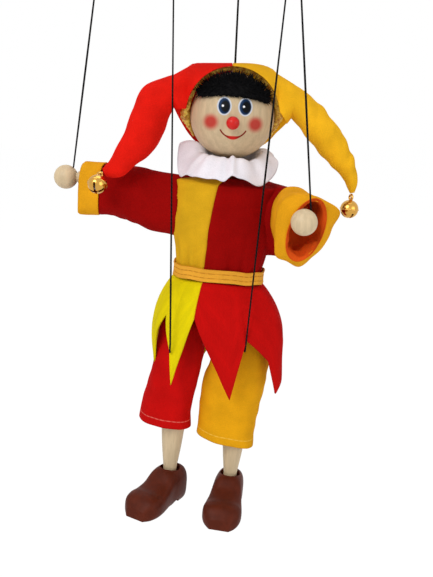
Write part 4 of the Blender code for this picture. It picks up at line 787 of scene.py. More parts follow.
def build_hat():
    count = 64
    steps = 60
    oval = Matrix.Diagonal((FACE_HALF_WIDTH, 1, FACE_HALF_HEIGHT, 1)) @ Matrix.Rotation(-math.pi / 2, 4, "X")
    front = -4 * HEAD_RADIUS
    low = FACE_SLOPE_START - 2 * HEAD_RADIUS
    cheeks = []
    for x, top in CHEEK_CUT:
        corners = ((front, top), (face_edge(top), top), (face_edge(low), low), (front, low))
        cheeks.append([Vector((x, y, z)) for y, z in corners])
    rooms = (turned("head_room", ball(HEAD_RADIUS + FIT, 0, 1.55, 40), PALE_WOOD, HAT, 72),
             turned("face_room", rod(1.0, front, FACE_EDGE), PALE_WOOD, HAT @ oval, 96),
             loft("cheek_room", cheeks, PALE_WOOD, HAT),
             turned("neck_room", rod(HAT_NECK_RADIUS, front, HAT_NECK_TOP), PALE_WOOD, HAT, 48),
             turned("crown_room", rod(CROWN_HOLE_RADIUS, HEAD_RADIUS / 2, -front), PALE_WOOD, HEAD, 32))
    halves = (("hat_red", -1, LEFT_HORN, HAT_RED_CLOTH, "red_cloth"),
              ("hat_yellow", 1, RIGHT_HORN, HAT_YELLOW_CLOTH, "yellow_cloth"))
    for name, side, horn, finish, slot in halves:
        rings = [hood_ring(HOOD_WIDTH * i / 9, side, count) for i in range(9)]
        seam = hood_ring(HOOD_WIDTH, side, count)
        first = horn_ring(horn[0], count, 0.0)
        for t in (0.0, 0.34, 0.67):
            rings.append([blend(a, b, ease(t)) for a, b in zip(seam, first)])
        rings += [horn_ring(smooth_line(horn, i / steps), count, i / steps) for i in range(steps + 1)]
        made = loft("visual_" + name, rings, finish, HAT)
        subtract(made, rooms, 50)
        uv_from_position(made)
        dress(made, slot, [name], "head")
        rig.padded(made, 0.35)
    drop(*rooms)


def build_trim():
    """Crinkled gold ribbon round the face opening, bunched at the temples and thin towards the neck."""
    columns, rows = 260, 12

    def point(u, v):
        a = math.pi / 2 + TRIM_SWEEP * (u - 0.5)
        inner = HEAD_RADIUS + blend(FIT / 2, TRIM_RISE, ease(math.sin(a)))
        bunch = math.exp(-((math.sin(a) - 0.02) / 0.17) ** 2)
        wide = blend(TRIM_WIDTH, TRIM_BUNCH_WIDTH, bunch) * blend(1.0, 0.45, ease(-math.sin(a) / 0.5))
        crinkle = ripple(Vector((u * 0.2, v * 0.004, 0)), 0.0013)
        ragged = 0.00035 * ripple(Vector((u * 0.2, 0.1 * round(v), 0)), 0.0018, 4.0)
        radius = inner + (wide + ragged) * v
        z = radius * math.sin(a)
        puff = TRIM_PUFF * math.sin(math.pi * v) * (1 + 1.6 * bunch)
        y = face_edge(z) - FIT - puff - 0.0005 * (crinkle + 0.5) + TRIM_LEAN * bunch * v
        return Vector((radius * math.cos(a), y, z))

    made = cloth_piece("visual_trim", point, rows, columns, False, LAME, HAT, TRIM_FLAT, None, 0.0003)
    dress(made, "gold_ribbon", ["hat_trim"], "head")


# Bore through the head for its wire, and the nose: a bead cut flat at a share of its radius
HEAD_BORE = 0.0009
NOSE_RADIUS = 0.00265
NOSE_CUT = 0.65
NOSE_DROP = 0.0018
NOSE_GAP = 0.0004


def build_head():
    half = math.acos(HEAD_BORE / HEAD_RADIUS)
    rim = HEAD_RADIUS * math.sin(half)
    profile = arc(HEAD_RADIUS, 0, -half, half, 64) + [(HEAD_BORE, rim / 2), (HEAD_BORE, -rim / 2)]
    head = turned("visual_head", profile, face_material(), HEAD, 96)
    dress(head, "wood", ["head_ball"], "head")
    axis = HEAD @ Matrix.Rotation(math.radians(90) + NOSE_DROP / HEAD_RADIUS, 4, "X")
    seat = HEAD_RADIUS + FIT + NOSE_GAP
    centre = seat + NOSE_RADIUS * NOSE_CUT
    bead = [(0, seat)] + arc(NOSE_RADIUS, centre, -math.asin(NOSE_CUT), NEAR_POLE, 24)
    bead.append((0, centre + NOSE_RADIUS))
    nose = turned("visual_nose", bead, RED_LACQUER, axis, 48)
    dress(nose, "red_lacquer", ["nose"], "head")


# Plush fringe
HAIR_HALF_WIDTH = 0.0133
HAIR_LOWER_EDGE = 0.0085
HAIR_BRIM_GAP = 0.0015
HAIR_TUFT_LENGTH = 0.0026
HAIR_TUFT_WIDTH = 0.00028
HAIR_SEED = 5


def fringe_point(u, v, lift):
    """A point on the forehead's fringe: u across, v from its top to its lower edge, lift off the head."""
    x = blend(-HAIR_HALF_WIDTH, HAIR_HALF_WIDTH, u)
    ragged = 0.0009 * ripple(Vector((u * 0.030, 0, 0)), 0.0019, 2.0)
    lower = HAIR_LOWER_EDGE - 0.0016 * (2 * u - 1) ** 2 - 0.0010 * (u - 0.5) + ragged
    upper = math.sqrt((HEAD_RADIUS - HAIR_BRIM_GAP) ** 2 - x ** 2)
    z = blend(max(upper, lower + 0.0006), lower, v)
    radius = HEAD_RADIUS + FIT + lift
    return Vector((x, -math.sqrt(max(radius ** 2 - x ** 2 - z ** 2, 0.0)), z))


def build_hair():
    """A dense pile of short bent tufts on a backing: upright at the brim, hanging at the lower edge."""
    noise.seed_set(HAIR_SEED)
    verts, faces = [], []
    columns, rows = 72, 18
    for i in range(rows):
        for j in range(columns):
            shake = noise.noise_vector(Vector((i * 2.2, j * 1.15, 4.0)))
            u = min(max((j + 0.5 + 0.8 * shake.x) / columns, 0.0), 1.0)
            v = min(max((i + 0.5 + 0.8 * shake.y) / rows, 0.0), 1.0)
            root = fringe_point(u, v, 0.0)
            out = root.normalized()
            length = HAIR_TUFT_LENGTH * (0.8 + 0.6 * shake.z)
            aside = 0.9 * shake.x + 0.8 * (u - 0.5)
            lean = Vector((aside, 0, blend(0.6, -1.0, v) + 0.7 * shake.y)).normalized()
            side = out.cross(lean).normalized() * HAIR_TUFT_WIDTH
            back = (out - lean) * HAIR_TUFT_WIDTH
            middle = root + out * length * 0.55 + lean * length * 0.30
            tip = root + out * length * 0.70 + lean * length * 0.85
            first = len(verts)
            verts += [root - side, root + side, root + back]
            verts += [middle - side * 0.8, middle + side * 0.8, middle + back * 0.8, tip]
            for a, b in ((0, 1), (1, 2), (2, 0)):
                faces.append((first + a, first + b, first + b + 3, first + a + 3))
                faces.append((first + a + 3, first + b + 3, first + 6))
    pile = add_object("visual_hair", verts, faces, PLUSH, HEAD)

    def back(u, v):
        rough = 0.0003 * ripple(Vector((u * 0.03, v * 0.01, 0)), 0.0011)
        return fringe_point(u, v, 0.0009 + rough)

    under = cloth_piece("visual_hair_backing", back, 12, 60, False, PLUSH, HEAD, (0.03, 0.012), None, 0.0007)
    dress(pile, "black_plush", ["hair_fringe"], "head")
    dress(under, "black_plush", ["hair_fringe"], "head")


# Bell loops from the head's centre and the way each bell hangs
BELLS = (("bell_left", Vector((-0.0540, -0.0137, -0.0230)), Vector((-0.15, -0.70, -0.70))),
         ("bell_right", Vector((0.0505, 0.0, -0.0340)), Vector((-0.12, -0.05, -1.0))))
BELL_RADIUS = 0.0039
BELL_WALL = 0.0005
BELL_RIDGE = 0.00025
BELL_SLOT = 0.0009
# How far below the bell's middle its slots start, as a share of its radius
BELL_SLOT_START = 0.42
LOOP_RADIUS = 0.0011
WIRE_RADIUS = 0.0005


def build_bell(name, spot, axis):
    """Jingle bell with a ridge, crossed slots and a wire loop."""
    matrix = place(HEAD_POSITION + spot) @ (-axis).to_track_quat("Z", "Y").to_matrix().to_4x4()
    centre = -BELL_RADIUS - LOOP_RADIUS
    ridge = BELL_RIDGE
    outer = [(0, centre - BELL_RADIUS)] + arc(BELL_RADIUS, centre, -1.5, -0.09, 20)
    outer += arc(ridge, centre, -1.3, 1.3, 6)[1:-1]
    outer = [(r + BELL_RADIUS if 0 < r <= ridge and abs(z - centre) <= ridge else r, z) for r, z in outer]
    outer += arc(BELL_RADIUS, centre, 0.09, 1.5, 20) + [(0, centre + BELL_RADIUS)]
    shell = turned("visual_" + name, outer, BRASS, matrix, 64)
    tools = [turned("hollow", ball(BELL_RADIUS - BELL_WALL, centre, 1.5, 24), BRASS, matrix, 48)]
    far = 2 * BELL_RADIUS
    deep = centre - BELL_SLOT_START * BELL_RADIUS
    half = BELL_SLOT / 2
    for quarter in (0, math.pi / 2):
        turn = matrix @ Matrix.Rotation(quarter, 4, "Z")
        outline = ((-half, centre - far), (half, centre - far), (half, deep), (-half, deep))
        tools.append(slab("slot", outline, far, BRASS, turn))
    subtract(shell, tools, 35)
    drop(*tools)
    wire = [(LOOP_RADIUS + WIRE_RADIUS * math.cos(a), WIRE_RADIUS * math.sin(a)) for a in circle(12)]
    loop = turned("visual_loop_" + name, wire, BRASS, matrix @ Matrix.Rotation(math.pi / 2, 4, "X"), 32)
    dress(shell, "brass", [name], name)
    dress(loop, "brass", [name], name)


# Jacket, belt, collar and skirt, in the torso's frame
JACKET_SEAM = (math.radians(-4), math.radians(-13))
SEAM_LAP = 0.004
JACKET_TOP = -0.0030
JACKET_BOTTOM = -0.0430
JACKET_HALF_WIDTH = 0.0220
JACKET_HALF_DEPTH = 0.0125
JACKET_ROUNDNESS = 2.9
JACKET_GATHER = 0.00045
JACKET_DRAPE = 0.0006
JACKET_PULL = 0.0005
JACKET_SEAM_DIP = 0.0003
JACKET_FLAT = (0.056, 0.042)
WAIST_HALF_WIDTH = 0.0186
WAIST_HALF_DEPTH = 0.0118
NECK_RADIUS = 0.0080
BELT_TOP = -0.0412
BELT_BOTTOM = -0.0464
BELT_FLAT = (0.104, 0.0052)
BELT_EDGE = 0.00022
BELT_SLACK = 0.0002
ARMHOLE_MIDDLE = -0.0155
ARMHOLE_HALF_HEIGHT = 0.0115
ARMHOLE_HALF_WIDTH = 0.0070


def jacket_half_size(z):
    t = (z - JACKET_TOP) / (JACKET_BOTTOM - JACKET_TOP)
    shoulder = ease(t / 0.075)
    waist = ease((t - 0.45) / 0.55)
    wide = blend(blend(NECK_RADIUS, JACKET_HALF_WIDTH, shoulder), WAIST_HALF_WIDTH, waist)
    deep = blend(blend(NECK_RADIUS, JACKET_HALF_DEPTH, shoulder), WAIST_HALF_DEPTH, waist)
    return wide, deep


def around(azimuth, wide, deep, z, power=JACKET_ROUNDNESS):
    """A point round the torso. Azimuth 0 is the front and grows to the right."""
    c, s = rounded(azimuth - math.pi / 2, power)
    return Vector((c * wide, s * deep, z))


def in_armhole(point):
    rise = (point.z - ARMHOLE_MIDDLE) / ARMHOLE_HALF_HEIGHT
    return abs(point.x) > 0.012 and rise ** 2 + (point.y / ARMHOLE_HALF_WIDTH) ** 2 < 1


def build_jacket():
    halves = (("jacket_yellow", -1, YELLOW_CLOTH, "yellow_cloth"),
              ("jacket_red", 1, JACKET_RED_CLOTH, "red_cloth"))
    for name, side, finish, slot in halves:
        def point(u, v):
            z = blend(JACKET_TOP, JACKET_BOTTOM, v ** 1.3)
            wide, deep = jacket_half_size(z)
            seam_now = blend(JACKET_SEAM[0], JACKET_SEAM[1], v)
            azimuth = seam_now + side * blend(-SEAM_LAP, math.pi + SEAM_LAP, u)
            pleats = math.cos(19 * azimuth + 2 * math.sin(3 * azimuth))
            gather = JACKET_GATHER * ease((v - 0.55) / 0.45) * pleats
            base = around(azimuth, wide, deep, z)
            upright = Vector((base.x, base.y, base.z * 0.45))
            drape = JACKET_DRAPE * ripple(upright, 0.0085, 1.0) * ease(v * 4)
            slanted = Vector((base.x + base.z, base.y, base.z - base.x))
            pull = JACKET_PULL * ripple(slanted, 0.0070, 4.0) * ease(v * 4)
            seam = JACKET_SEAM_DIP * (math.exp(-(u / 0.014) ** 2) + math.exp(-((1 - u) / 0.014) ** 2))
            grow = min(gather + drape + pull, FIT) - seam - FIT
            return around(azimuth, wide + grow, deep + grow, z)

        made = cloth_piece("visual_" + name, point, 60, 90, False, finish, TORSO, JACKET_FLAT, in_armhole)
        dress(made, slot, [name], "torso")
        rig.sheet(made, JACKET_FLAT, "stretched", ["torso_block"])


def build_belt():
    """Ribbon with raised edges."""
    def point(u, v):
        z = blend(BELT_TOP, BELT_BOTTOM, v)
        wide, deep = jacket_half_size(max(z, JACKET_BOTTOM))
        edge = BELT_EDGE * (math.exp(-(v / 0.10) ** 2) + math.exp(-((1 - v) / 0.10) ** 2))
        azimuth = 2 * math.pi * u
        slack = BELT_SLACK * math.sin(9 * azimuth)
        grow = FIT + CLOTH - BELT_SLACK + edge + 0.5 * slack
        return around(azimuth, wide + grow, deep + grow, z + slack)

    made = cloth_piece("visual_belt", point, 14, 160, True, BELT_CLOTH, TORSO, BELT_FLAT, None, 0.0006)
    dress(made, "yellow_cloth", ["belt"], "torso")


COLLAR_INNER = 0.0070
COLLAR_CREST = (0.0110, 0.0142)
COLLAR_DEPTH_SHARE = 0.86
COLLAR_PLEATS = 15
COLLAR_PLEAT = 0.0006
COLLAR_WAVE = 0.0007
COLLAR_CREASE = 0.0010
COLLAR_FLAT = (0.100, 0.018)
COLLAR_FREE = 0.0060
# Outer edge all round from the back: azimuth in degrees, radius and height in the torso's frame
COLLAR_EDGE = ((-180, 0.0180, 0.0010), (-150, 0.0190, 0.0030), (-125, 0.0205, 0.0070), (-105, 0.0222, 0.0086),
               (-96, 0.0226, 0.0046), (-85, 0.0222, -0.0010), (-70, 0.0214, -0.0036), (-56, 0.0208, -0.0022),
               (-38, 0.0204, -0.0032), (-21, 0.0203, -0.0038), (-7, 0.0205, -0.0029), (7, 0.0205, -0.0007),
               (22, 0.0204, -0.0015), (39, 0.0201, -0.0037), (57, 0.0196, -0.0022), (75, 0.0199, 0.0011),
               (90, 0.0198, 0.0046), (110, 0.0186, 0.0076), (130, 0.0176, 0.0078), (155, 0.0178, 0.0030),
               (180, 0.0180, 0.0010))


def build_collar():
    """Gathered satin ruff: pleated at the neck, raised under the chin, its edge falling in broad lobes."""
    neck = (COLLAR_INNER, JACKET_TOP + FIT + CLOTH)

    def point(u, v):
        degrees, edge_radius, edge_height = smooth_line(COLLAR_EDGE, u)
        a = math.radians(degrees)
        rest = 1 - v
        radius, z = (rest * rest * start + 2 * v * rest * crest + v * v * end for start, crest, end
                     in zip(neck, COLLAR_CREST, (edge_radius, edge_height)))
        drift = 0.9 * math.sin(3 * a + 0.5) + 0.5 * math.sin(7 * a)
        pleat = COLLAR_PLEAT * math.sin(COLLAR_PLEATS * a + 2 * drift) * (1 - 0.80 * v) * ease(v * 4)
        wave = COLLAR_WAVE * math.sin(7 * a + 2.2 * drift) * v
        spot = Vector((math.sin(a) * radius, math.cos(a) * radius, z))
        crease = COLLAR_CREASE * v * ripple(spot, 0.0060, 7.0)
        z += 0.6 * pleat + wave + crease
        radius += 0.5 * pleat + 0.4 * wave
        return Vector((radius * math.sin(a), -COLLAR_DEPTH_SHARE * radius * math.cos(a), z))

    made = cloth_piece("visual_collar", point, 44, 420, True, WHITE_CLOTH, TORSO, COLLAR_FLAT, None, 0.0003)
    dress(made, "white_cloth", ["collar"])
    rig.sheet(made, COLLAR_FLAT, "gathered", ["jacket_yellow", "jacket_red"])
    start = TORSO @ Vector((0, 0, JACKET_TOP))
    end = TORSO @ Vector((0, 0, COLLAR_FREE))
    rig.blend(made, "torso", "neck_wire", start, end)


SKIRT_HALF_WIDTH = 0.0287
SKIRT_HALF_DEPTH = 0.0210
SKIRT_FLARE_END = -0.0720
SKIRT_SWAY = 0.0016
SKIRT_FOLD = 0.0010
SKIRT_FINE_FOLD = 0.0006
SKIRT_UNEVEN = 0.0007
SKIRT_CURL = 0.0012
SKIRT_RIGHT_FULLNESS = 0.0026
SKIRT_NOTCH = -0.0610
SKIRT_POINT_LENGTH = 0.0340
SKIRT_FLAT = (0.078, 0.049)
# Area of a half once its notches are cut, in square metres
SKIRT_AREA = 0.0021
# Where the cloth starts to follow the thigh, below the belt, and where it follows fully, below the hip
SKIRT_FREE = 0.003
SKIRT_CARRIED = 0.019
# Cut edge of each half, front seam to back seam: azimuth in degrees, share of a point's length
SKIRT_EDGE = {
    -1: ((-20, 0.0), (-39.0, 0.91), (-40.5, 0.47), (-50, 0.03), (-76, 0.74), (-98, 0.06), (-120, 0.85),
         (-142, 0.06), (-168, 0.85), (-200, 0.0)),
    1: ((-20, 0.0), (14, 1.0), (20, 0.56), (25, 0.21), (48, 0.50), (58, 0.94), (75, 0.68), (95, 0.09),
        (118, 0.85), (140, 0.09), (160, 0.0)),
}


def skirt_edge(side, u):
    """Azimuth and share of a point's length of the cut edge, at a share of one half's width."""
    stations = SKIRT_EDGE[side]
    spot = u * (len(stations) - 1)
    i = min(int(spot), len(stations) - 2)
    return (blend(a, b, spot - i) for a, b in zip(stations[i], stations[i + 1]))


def build_skirt():
    top = BELT_BOTTOM - FIT
    halves = (("skirt_yellow", -1, LEMON_CLOTH, "lemon_cloth", "thigh_left", LEFT_LEG),
              ("skirt_red", 1, SKIRT_RED_CLOTH, "red_cloth", "thigh_right", RIGHT_LEG))
    for name, side, finish, slot, thigh, leg in halves:
        def point(u, v):
            degrees, share = skirt_edge(side, u)
            z = blend(top, SKIRT_NOTCH - share * SKIRT_POINT_LENGTH, v)
            fall = (top - z) / (top - SKIRT_FLARE_END)
            flare = math.sin(min(fall, 1.0) * math.pi / 2) ** 0.8
            azimuth = math.radians(degrees) + side * blend(-SEAM_LAP, SEAM_LAP, u)
            fold = SKIRT_FOLD * flare * math.cos(4 * azimuth)
            fold += SKIRT_FINE_FOLD * flare * math.sin(9 * azimuth + 1.0)
            full = SKIRT_HALF_WIDTH + SKIRT_RIGHT_FULLNESS * max(math.sin(azimuth), 0.0)
            wide = blend(WAIST_HALF_WIDTH, full, flare) - fold
            deep = blend(WAIST_HALF_DEPTH, SKIRT_HALF_DEPTH, flare) - fold
            base = around(azimuth, wide, deep, z, 2.0) + Vector((SKIRT_SWAY * fall, 0, 0))
            soft = SKIRT_UNEVEN * flare * ripple(Vector((base.x, base.y, base.z * 0.5)), 0.0090, 5.0)
            curl = SKIRT_CURL * ease((v - 0.75) / 0.25) * ripple(Vector((degrees * 0.0004, 0, 0)), 0.006, 9.0)
            out = Vector((base.x, base.y * 1.4, 0)).normalized()
            return base + out * (soft - curl)

        columns = 12 * (len(SKIRT_EDGE[side]) - 1)
        made = cloth_piece("visual_" + name, point, 40, columns, False, finish, TORSO, SKIRT_FLAT)
        dress(made, slot, [name])
        start = TORSO @ Vector((side * HIP_SPREAD, 0, BELT_BOTTOM - SKIRT_FREE))
        end = leg @ Vector((0, 0, -SKIRT_CARRIED))
        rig.sheet(made, SKIRT_FLAT, "hung", ["belt"], SKIRT_AREA)
        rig.blend(made, "torso", thigh, start, end)


# Arms, in each arm's frame
SLEEVE_ROUNDNESS = 2.3
# Share of its length that a sleeve runs straight on from each end before it bends
SLEEVE_PULL = 0.42
SLEEVE_FOLD = 0.0011
SLEEVE_FINE_FOLD = 0.0005
SLEEVE_TOP = 0.0050
SLEEVE_DROP_AT_SHOULDER = {"left": 0.0235, "right": 0.0290}
SLEEVE_DROP_AT_CUFF = 0.0170
SLEEVE_HALF_DEPTH = {"left": 0.0090, "right": 0.0074}
SLEEVE_ROOT_HALF_DEPTH = {"left": 0.0068, "right": 0.0111}
CUFF_START = 0.0298
CUFF_END = 0.0391
CUFF_FLARE = 0.0003
CUFF_FLAT = (0.058, 0.0093)
LINING_FLAT = (0.055, 0.0070)
CUFF_LIFT = {"left": 0.0015, "right": 0.0}
CUFF_SLANT = {"left": 0.115, "right": 0.0}
CUFF_RIM_HALF_DEPTH = 0.0065
SLEEVE_ROOT_TOP = {"left": 0.0034, "right": 0.0040}
SLEEVE_FLAT = {"left": (0.068, 0.033), "right": (0.077, 0.033)}
# Share of a sleeve's length that is drawn in to the jacket, and how far at most
SLEEVE_SEAT_SHARE = 0.30
SLEEVE_SEAT_REACH = {"left": 0.0090, "right": 0.0108}
# Distance along the arm where a sleeve follows it fully
SLEEVE_FREE = {"left": 0.0215, "right": 0.0140}
# Middle of a sleeve's root in the torso's frame, and the way it leaves in degrees from the right
SLEEVE_ROOT = {"left": (Vector((-0.0225, 0.0, 0.0)), 180), "right": (Vector((0.0243, -0.0018, 0.0)), -41)}


def reach_into_jacket(spot, inward, most):
    """How far a point beside the torso goes inward to tuck under the jacket's surface."""
    step = FIT
    tuck = CLOTH
    reach = 0.0
    while reach < most:
        x, y, z = spot + inward * (reach + step)
        wide, deep = jacket_half_size(z)
        across, along = abs(x) / (wide - tuck), abs(y) / (deep - tuck)
        if z < JACKET_TOP and across ** JACKET_ROUNDNESS + along ** JACKET_ROUNDNESS < 1:
            break
        reach += step
    return reach


def build_sleeve(name, arm):
    to_arm = arm.inverted() @ TORSO
    to_torso = to_arm.inverted()
    spot, degrees = SLEEVE_ROOT[name]
    middle = -SHOULDER_DROP + (SLEEVE_TOP - SLEEVE_DROP_AT_SHOULDER[name]) / 2
    root = to_arm @ (spot + Vector((0, 0, middle)))
    out = to_arm.to_3x3() @ Vector((math.cos(math.radians(degrees)), math.sin(math.radians(degrees)), 0))
    end = Vector((CUFF_START - FIT, 0, (SLEEVE_TOP - SLEEVE_DROP_AT_CUFF) / 2 + CUFF_LIFT[name]))
    pull = (end - root).length * SLEEVE_PULL

    def spine(t):
        a, b, c, d = root, root + out * pull, end - Vector((pull, 0, 0)), end
        s = 1 - t
        spot_on = a * s ** 3 + b * 3 * s * s * t + c * 3 * s * t * t + d * t ** 3
        ahead = (b - a) * s * s + (c - b) * 2 * s * t + (d - c) * t * t
        return spot_on, ahead.normalized()

    def point(u, v):
        spot_on, ahead = spine(v)
        across = Vector((0, 0, 1)).cross(ahead).normalized()
        drop_now = blend(SLEEVE_DROP_AT_SHOULDER[name], SLEEVE_DROP_AT_CUFF, v)
        c, s = rounded(2 * math.pi * u, SLEEVE_ROUNDNESS)
        deep = blend(SLEEVE_ROOT_HALF_DEPTH[name], SLEEVE_HALF_DEPTH[name], ease(v * 2))
        top_now = blend(SLEEVE_ROOT_TOP[name], SLEEVE_TOP, ease(v * 2))
        rise = s * (top_now + drop_now) / 2
        base = spot_on + across * c * deep + Vector((0, 0, (top_now - SLEEVE_TOP) / 2 + rise))
        base.x -= CUFF_SLANT[name] * rise * v
        hang = 0.5 - 0.5 * s
        ring = math.sin(math.pi * min(max(v, 0.0), 1.0))
        slanted = Vector((base.x * 1.25 - base.z * 0.5, base.y * 0.7, base.z * 0.55))
        fold = SLEEVE_FOLD * ripple(slanted, 0.0072, 2.0)
        crossed = Vector((base.x - base.z, base.y, base.x + base.z))
        fine = SLEEVE_FINE_FOLD * ripple(crossed, 0.0036, 6.0)
        inward = (spot_on - base).normalized()
        seated = 1 - ease(v / SLEEVE_SEAT_SHARE)
        towards = to_torso.to_3x3() @ -out
        tucked = reach_into_jacket(to_torso @ base, towards, SLEEVE_SEAT_REACH[name]) * seated
        dip = (0.0006 - (fold + fine) * (0.35 + 0.65 * hang)) * (0.25 + 0.75 * ring)
        return base - out * tucked + inward * dip

    made = cloth_piece(f"visual_sleeve_{name}", point, 60, 96, True, JACKET_RED_CLOTH, arm, SLEEVE_FLAT[name])
    dress(made, "red_cloth", [f"sleeve_{name}"])
    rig.sheet(made, SLEEVE_FLAT[name], "hung", [f"arm_{name}"])
    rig.blend(made, "torso", f"arm_{name}", arm @ root, arm @ Vector((SLEEVE_FREE[name], 0, 0)))


def dress_cuff(name, made, inside):
    dress(made, "yellow_cloth", [f"cuff_{name}"], f"arm_{name}")
    dress(inside, "red_cloth", [f"cuff_{name}"], f"arm_{name}")


def build_cuff(name, arm):
    """Plain sewn cuff with a rolled rim and an orange lining."""
    def point(u, v):
        wide = blend(SLEEVE_HALF_DEPTH[name] + CUFF_FLARE, CUFF_RIM_HALF_DEPTH, ease(v))
        top, low = SLEEVE_TOP + CUFF_FLARE, SLEEVE_DROP_AT_CUFF + CUFF_FLARE
        c, s = rounded(2 * math.pi * u, SLEEVE_ROUNDNESS)
        roll = -0.0006 * ease((v - 0.90) / 0.10)
        x = blend(CUFF_START, CUFF_END, v) + 0.0004 * math.sin(4 * math.pi * u)
        rise = s * ((top + low) / 2 + roll)
        middle = (top - low) / 2 + CUFF_LIFT[name]
        base = Vector((x - CUFF_SLANT[name] * rise, c * (wide + roll), middle + rise))
        return base + Vector((0, c, s)) * 0.0004 * ripple(base, 0.0055, 3.0)

    def lining(u, v):
        base = point(u, 0.97 - 0.75 * v)
        middle = Vector((base.x, 0, (SLEEVE_TOP - SLEEVE_DROP_AT_CUFF) / 2 + CUFF_LIFT[name]))
        return base + (middle - base).normalized() * (CLOTH + 0.0002 + 0.0006 * v)

    made = cloth_piece(f"visual_cuff_{name}", point, 24, 96, True, CUFF_CLOTH, arm, CUFF_FLAT)
    inside = cloth_piece(f"visual_lining_{name}", lining, 16, 96, True, LINING_CLOTH, arm, LINING_FLAT,
                         None, 0.0002)
    dress_cuff(name, made, inside)


# Right cuff, turned back over the sleeve: widest outline across and up round its opening, in the arm's frame
OPEN_CUFF_OUTLINE = ((0.0164, 0.0010), (0.0092, 0.0060), (0.0018, 0.0080), (-0.0044, 0.0070),
                     (-0.0078, 0.0030), (-0.0089, -0.0063), (-0.0086, -0.0162), (-0.0042, -0.0192),
                     (0.0012, -0.0218), (0.0064, -0.0178), (0.0108, -0.0132), (0.0138, -0.0060))
OPEN_CUFF_BACK = 0.0150
OPEN_CUFF_WIDEST = 0.0345
OPEN_CUFF_RIM = 0.0393
OPENING_CENTRE = Vector((0.0022, -0.0049))
OPENING_HALF = (0.0066, 0.0126)
OPENING_LEAN = math.radians(-18)
LINING_FLOOR = 0.0220
OPEN_CUFF_FLAT = (0.068, 0.0270)
OPEN_LINING_FLAT = (0.058, 0.0220)


def closed_line(stations, u):
    """A point on a smooth closed curve through stations."""
    count = len(stations)
    looped = [stations[i % count] for i in range(-1, count + 2)]
    spot = (1 + u * count) / (count + 2)
    return Vector(smooth_line(looped, spot))


def opening_point(angle, grow=1.0):
    """A point on the leaning oval of the cuff's opening, at an angle about its centre."""
    c, s = math.cos(angle - OPENING_LEAN), math.sin(angle - OPENING_LEAN)
    reach = grow / math.hypot(c / OPENING_HALF[0], s / OPENING_HALF[1])
    return OPENING_CENTRE + Vector((math.cos(angle), math.sin(angle))) * reach


def build_open_cuff(name, arm):
    """Wide cuff with flattened seams at two corners, a piped opening and a crumpled orange lining."""
    sleeve_middle = Vector((0.0012, (SLEEVE_TOP - SLEEVE_DROP_AT_CUFF) / 2 - 0.0008))
    sleeve_half = (SLEEVE_HALF_DEPTH[name] + 0.0012, (SLEEVE_TOP + SLEEVE_DROP_AT_CUFF) / 2 + 0.0020)
    shoulder = 0.74

    def outline(u):
        spot = closed_line(OPEN_CUFF_OUTLINE, u)
        away = spot - OPENING_CENTRE
        return spot, math.atan2(away.y, away.x)

    def point(u, v):
        widest, angle = outline(u)
        if v < shoulder:
            t = v / shoulder
            c, s = rounded(angle, SLEEVE_ROUNDNESS)
            back = sleeve_middle + Vector((c * sleeve_half[0], s * sleeve_half[1]))
            across = blend(back, widest, t ** 1.4)
            x = blend(OPEN_CUFF_BACK, OPEN_CUFF_WIDEST, t)
        else:
            t = (v - shoulder) / (1 - shoulder)
            across = blend(widest, opening_point(angle), t)
            x = blend(OPEN_CUFF_WIDEST, OPEN_CUFF_RIM, math.sin(t * math.pi / 2))
        base = Vector((x, across.x, across.y))
        return base + Vector((0, math.cos(angle), math.sin(angle))) * 0.0005 * ripple(base, 0.0065, 3.0)

    def lining(u, v):
        angle = outline(u)[1]
        low = ease(-math.sin(angle) * 1.5)
        wall = ease(v / 0.12)
        close = ease((v - 0.70) / 0.30)
        across = opening_point(angle, blend(1.03, 0.90, wall))
        across = blend(across, Vector((math.cos(angle), math.sin(angle))) * 0.0028, close)
        x = blend(OPEN_CUFF_RIM + 0.0006, LINING_FLOOR, v ** 1.2)
        base = Vector((x, across.x, across.y))
        crumple = (0.3 + 0.7 * low) * 0.0020 * ripple(base, 0.0040, 8.0) * wall * (1 - close)
        return base - Vector((0, math.cos(angle), math.sin(angle))) * max(crumple, -0.0003)

    made = cloth_piece(f"visual_cuff_{name}", point, 40, 144, True, CUFF_CLOTH, arm, OPEN_CUFF_FLAT)
    inside = cloth_piece(f"visual_lining_{name}", lining, 40, 144, True, LINING_CLOTH, arm, OPEN_LINING_FLAT,
                         None, 0.0003)
    dress_cuff(name, made, inside)
    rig.sheet(made, OPEN_CUFF_FLAT, "stretched", [f"sleeve_{name}"])
    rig.sheet(inside, OPEN_LINING_FLAT, "stretched", [f"cuff_{name}"])


def build_hand(name, arm):
    mouth = -math.acos(ARM_TENON_RADIUS / HAND_RADIUS)
    profile = [(0, ARM_TENON_END), (ARM_TENON_RADIUS, ARM_TENON_END)]
    profile += arc(HAND_RADIUS, ARM_LENGTH, mouth, NEAR_POLE, 40)
    profile.append((0, ARM_LENGTH + HAND_RADIUS))
    made = turned(f"visual_hand_{name}", profile, ARM_WOOD, arm @ Matrix.Rotation(math.pi / 2, 4, "Y"), 64)
    dress(made, "wood", [f"hand_{name}"], f"arm_{name}")


# Legs, in each leg's frame
TROUSER_TOP = -0.0068
TROUSER_LENGTH = {"left": 0.0595, "right": 0.0650}
TROUSER_HEM_TILT = {"left": 0.0012, "right": 0.0022}
TROUSER_GATHER = 0.14
TROUSER_SEAT = {"left": (-0.0096, 0.0120), "right": (-0.0120, 0.0130)}
TROUSER_HEM = {"left": (-0.0152, 0.0078), "right": (-0.0168, 0.0094)}
TROUSER_FULL_AT = {"left": (1.0, 1.0), "right": (0.55, 1.0)}
TROUSER_HALF_DEPTH = 0.0100
TROUSER_WAIST = 0.0067
TROUSER_ROUNDNESS = 2.3
TROUSER_FOLD = 0.0009
TROUSER_FINE_FOLD = 0.0003
TROUSER_HEM_ROLL = 0.0003
TROUSER_GIRTH = 0.074
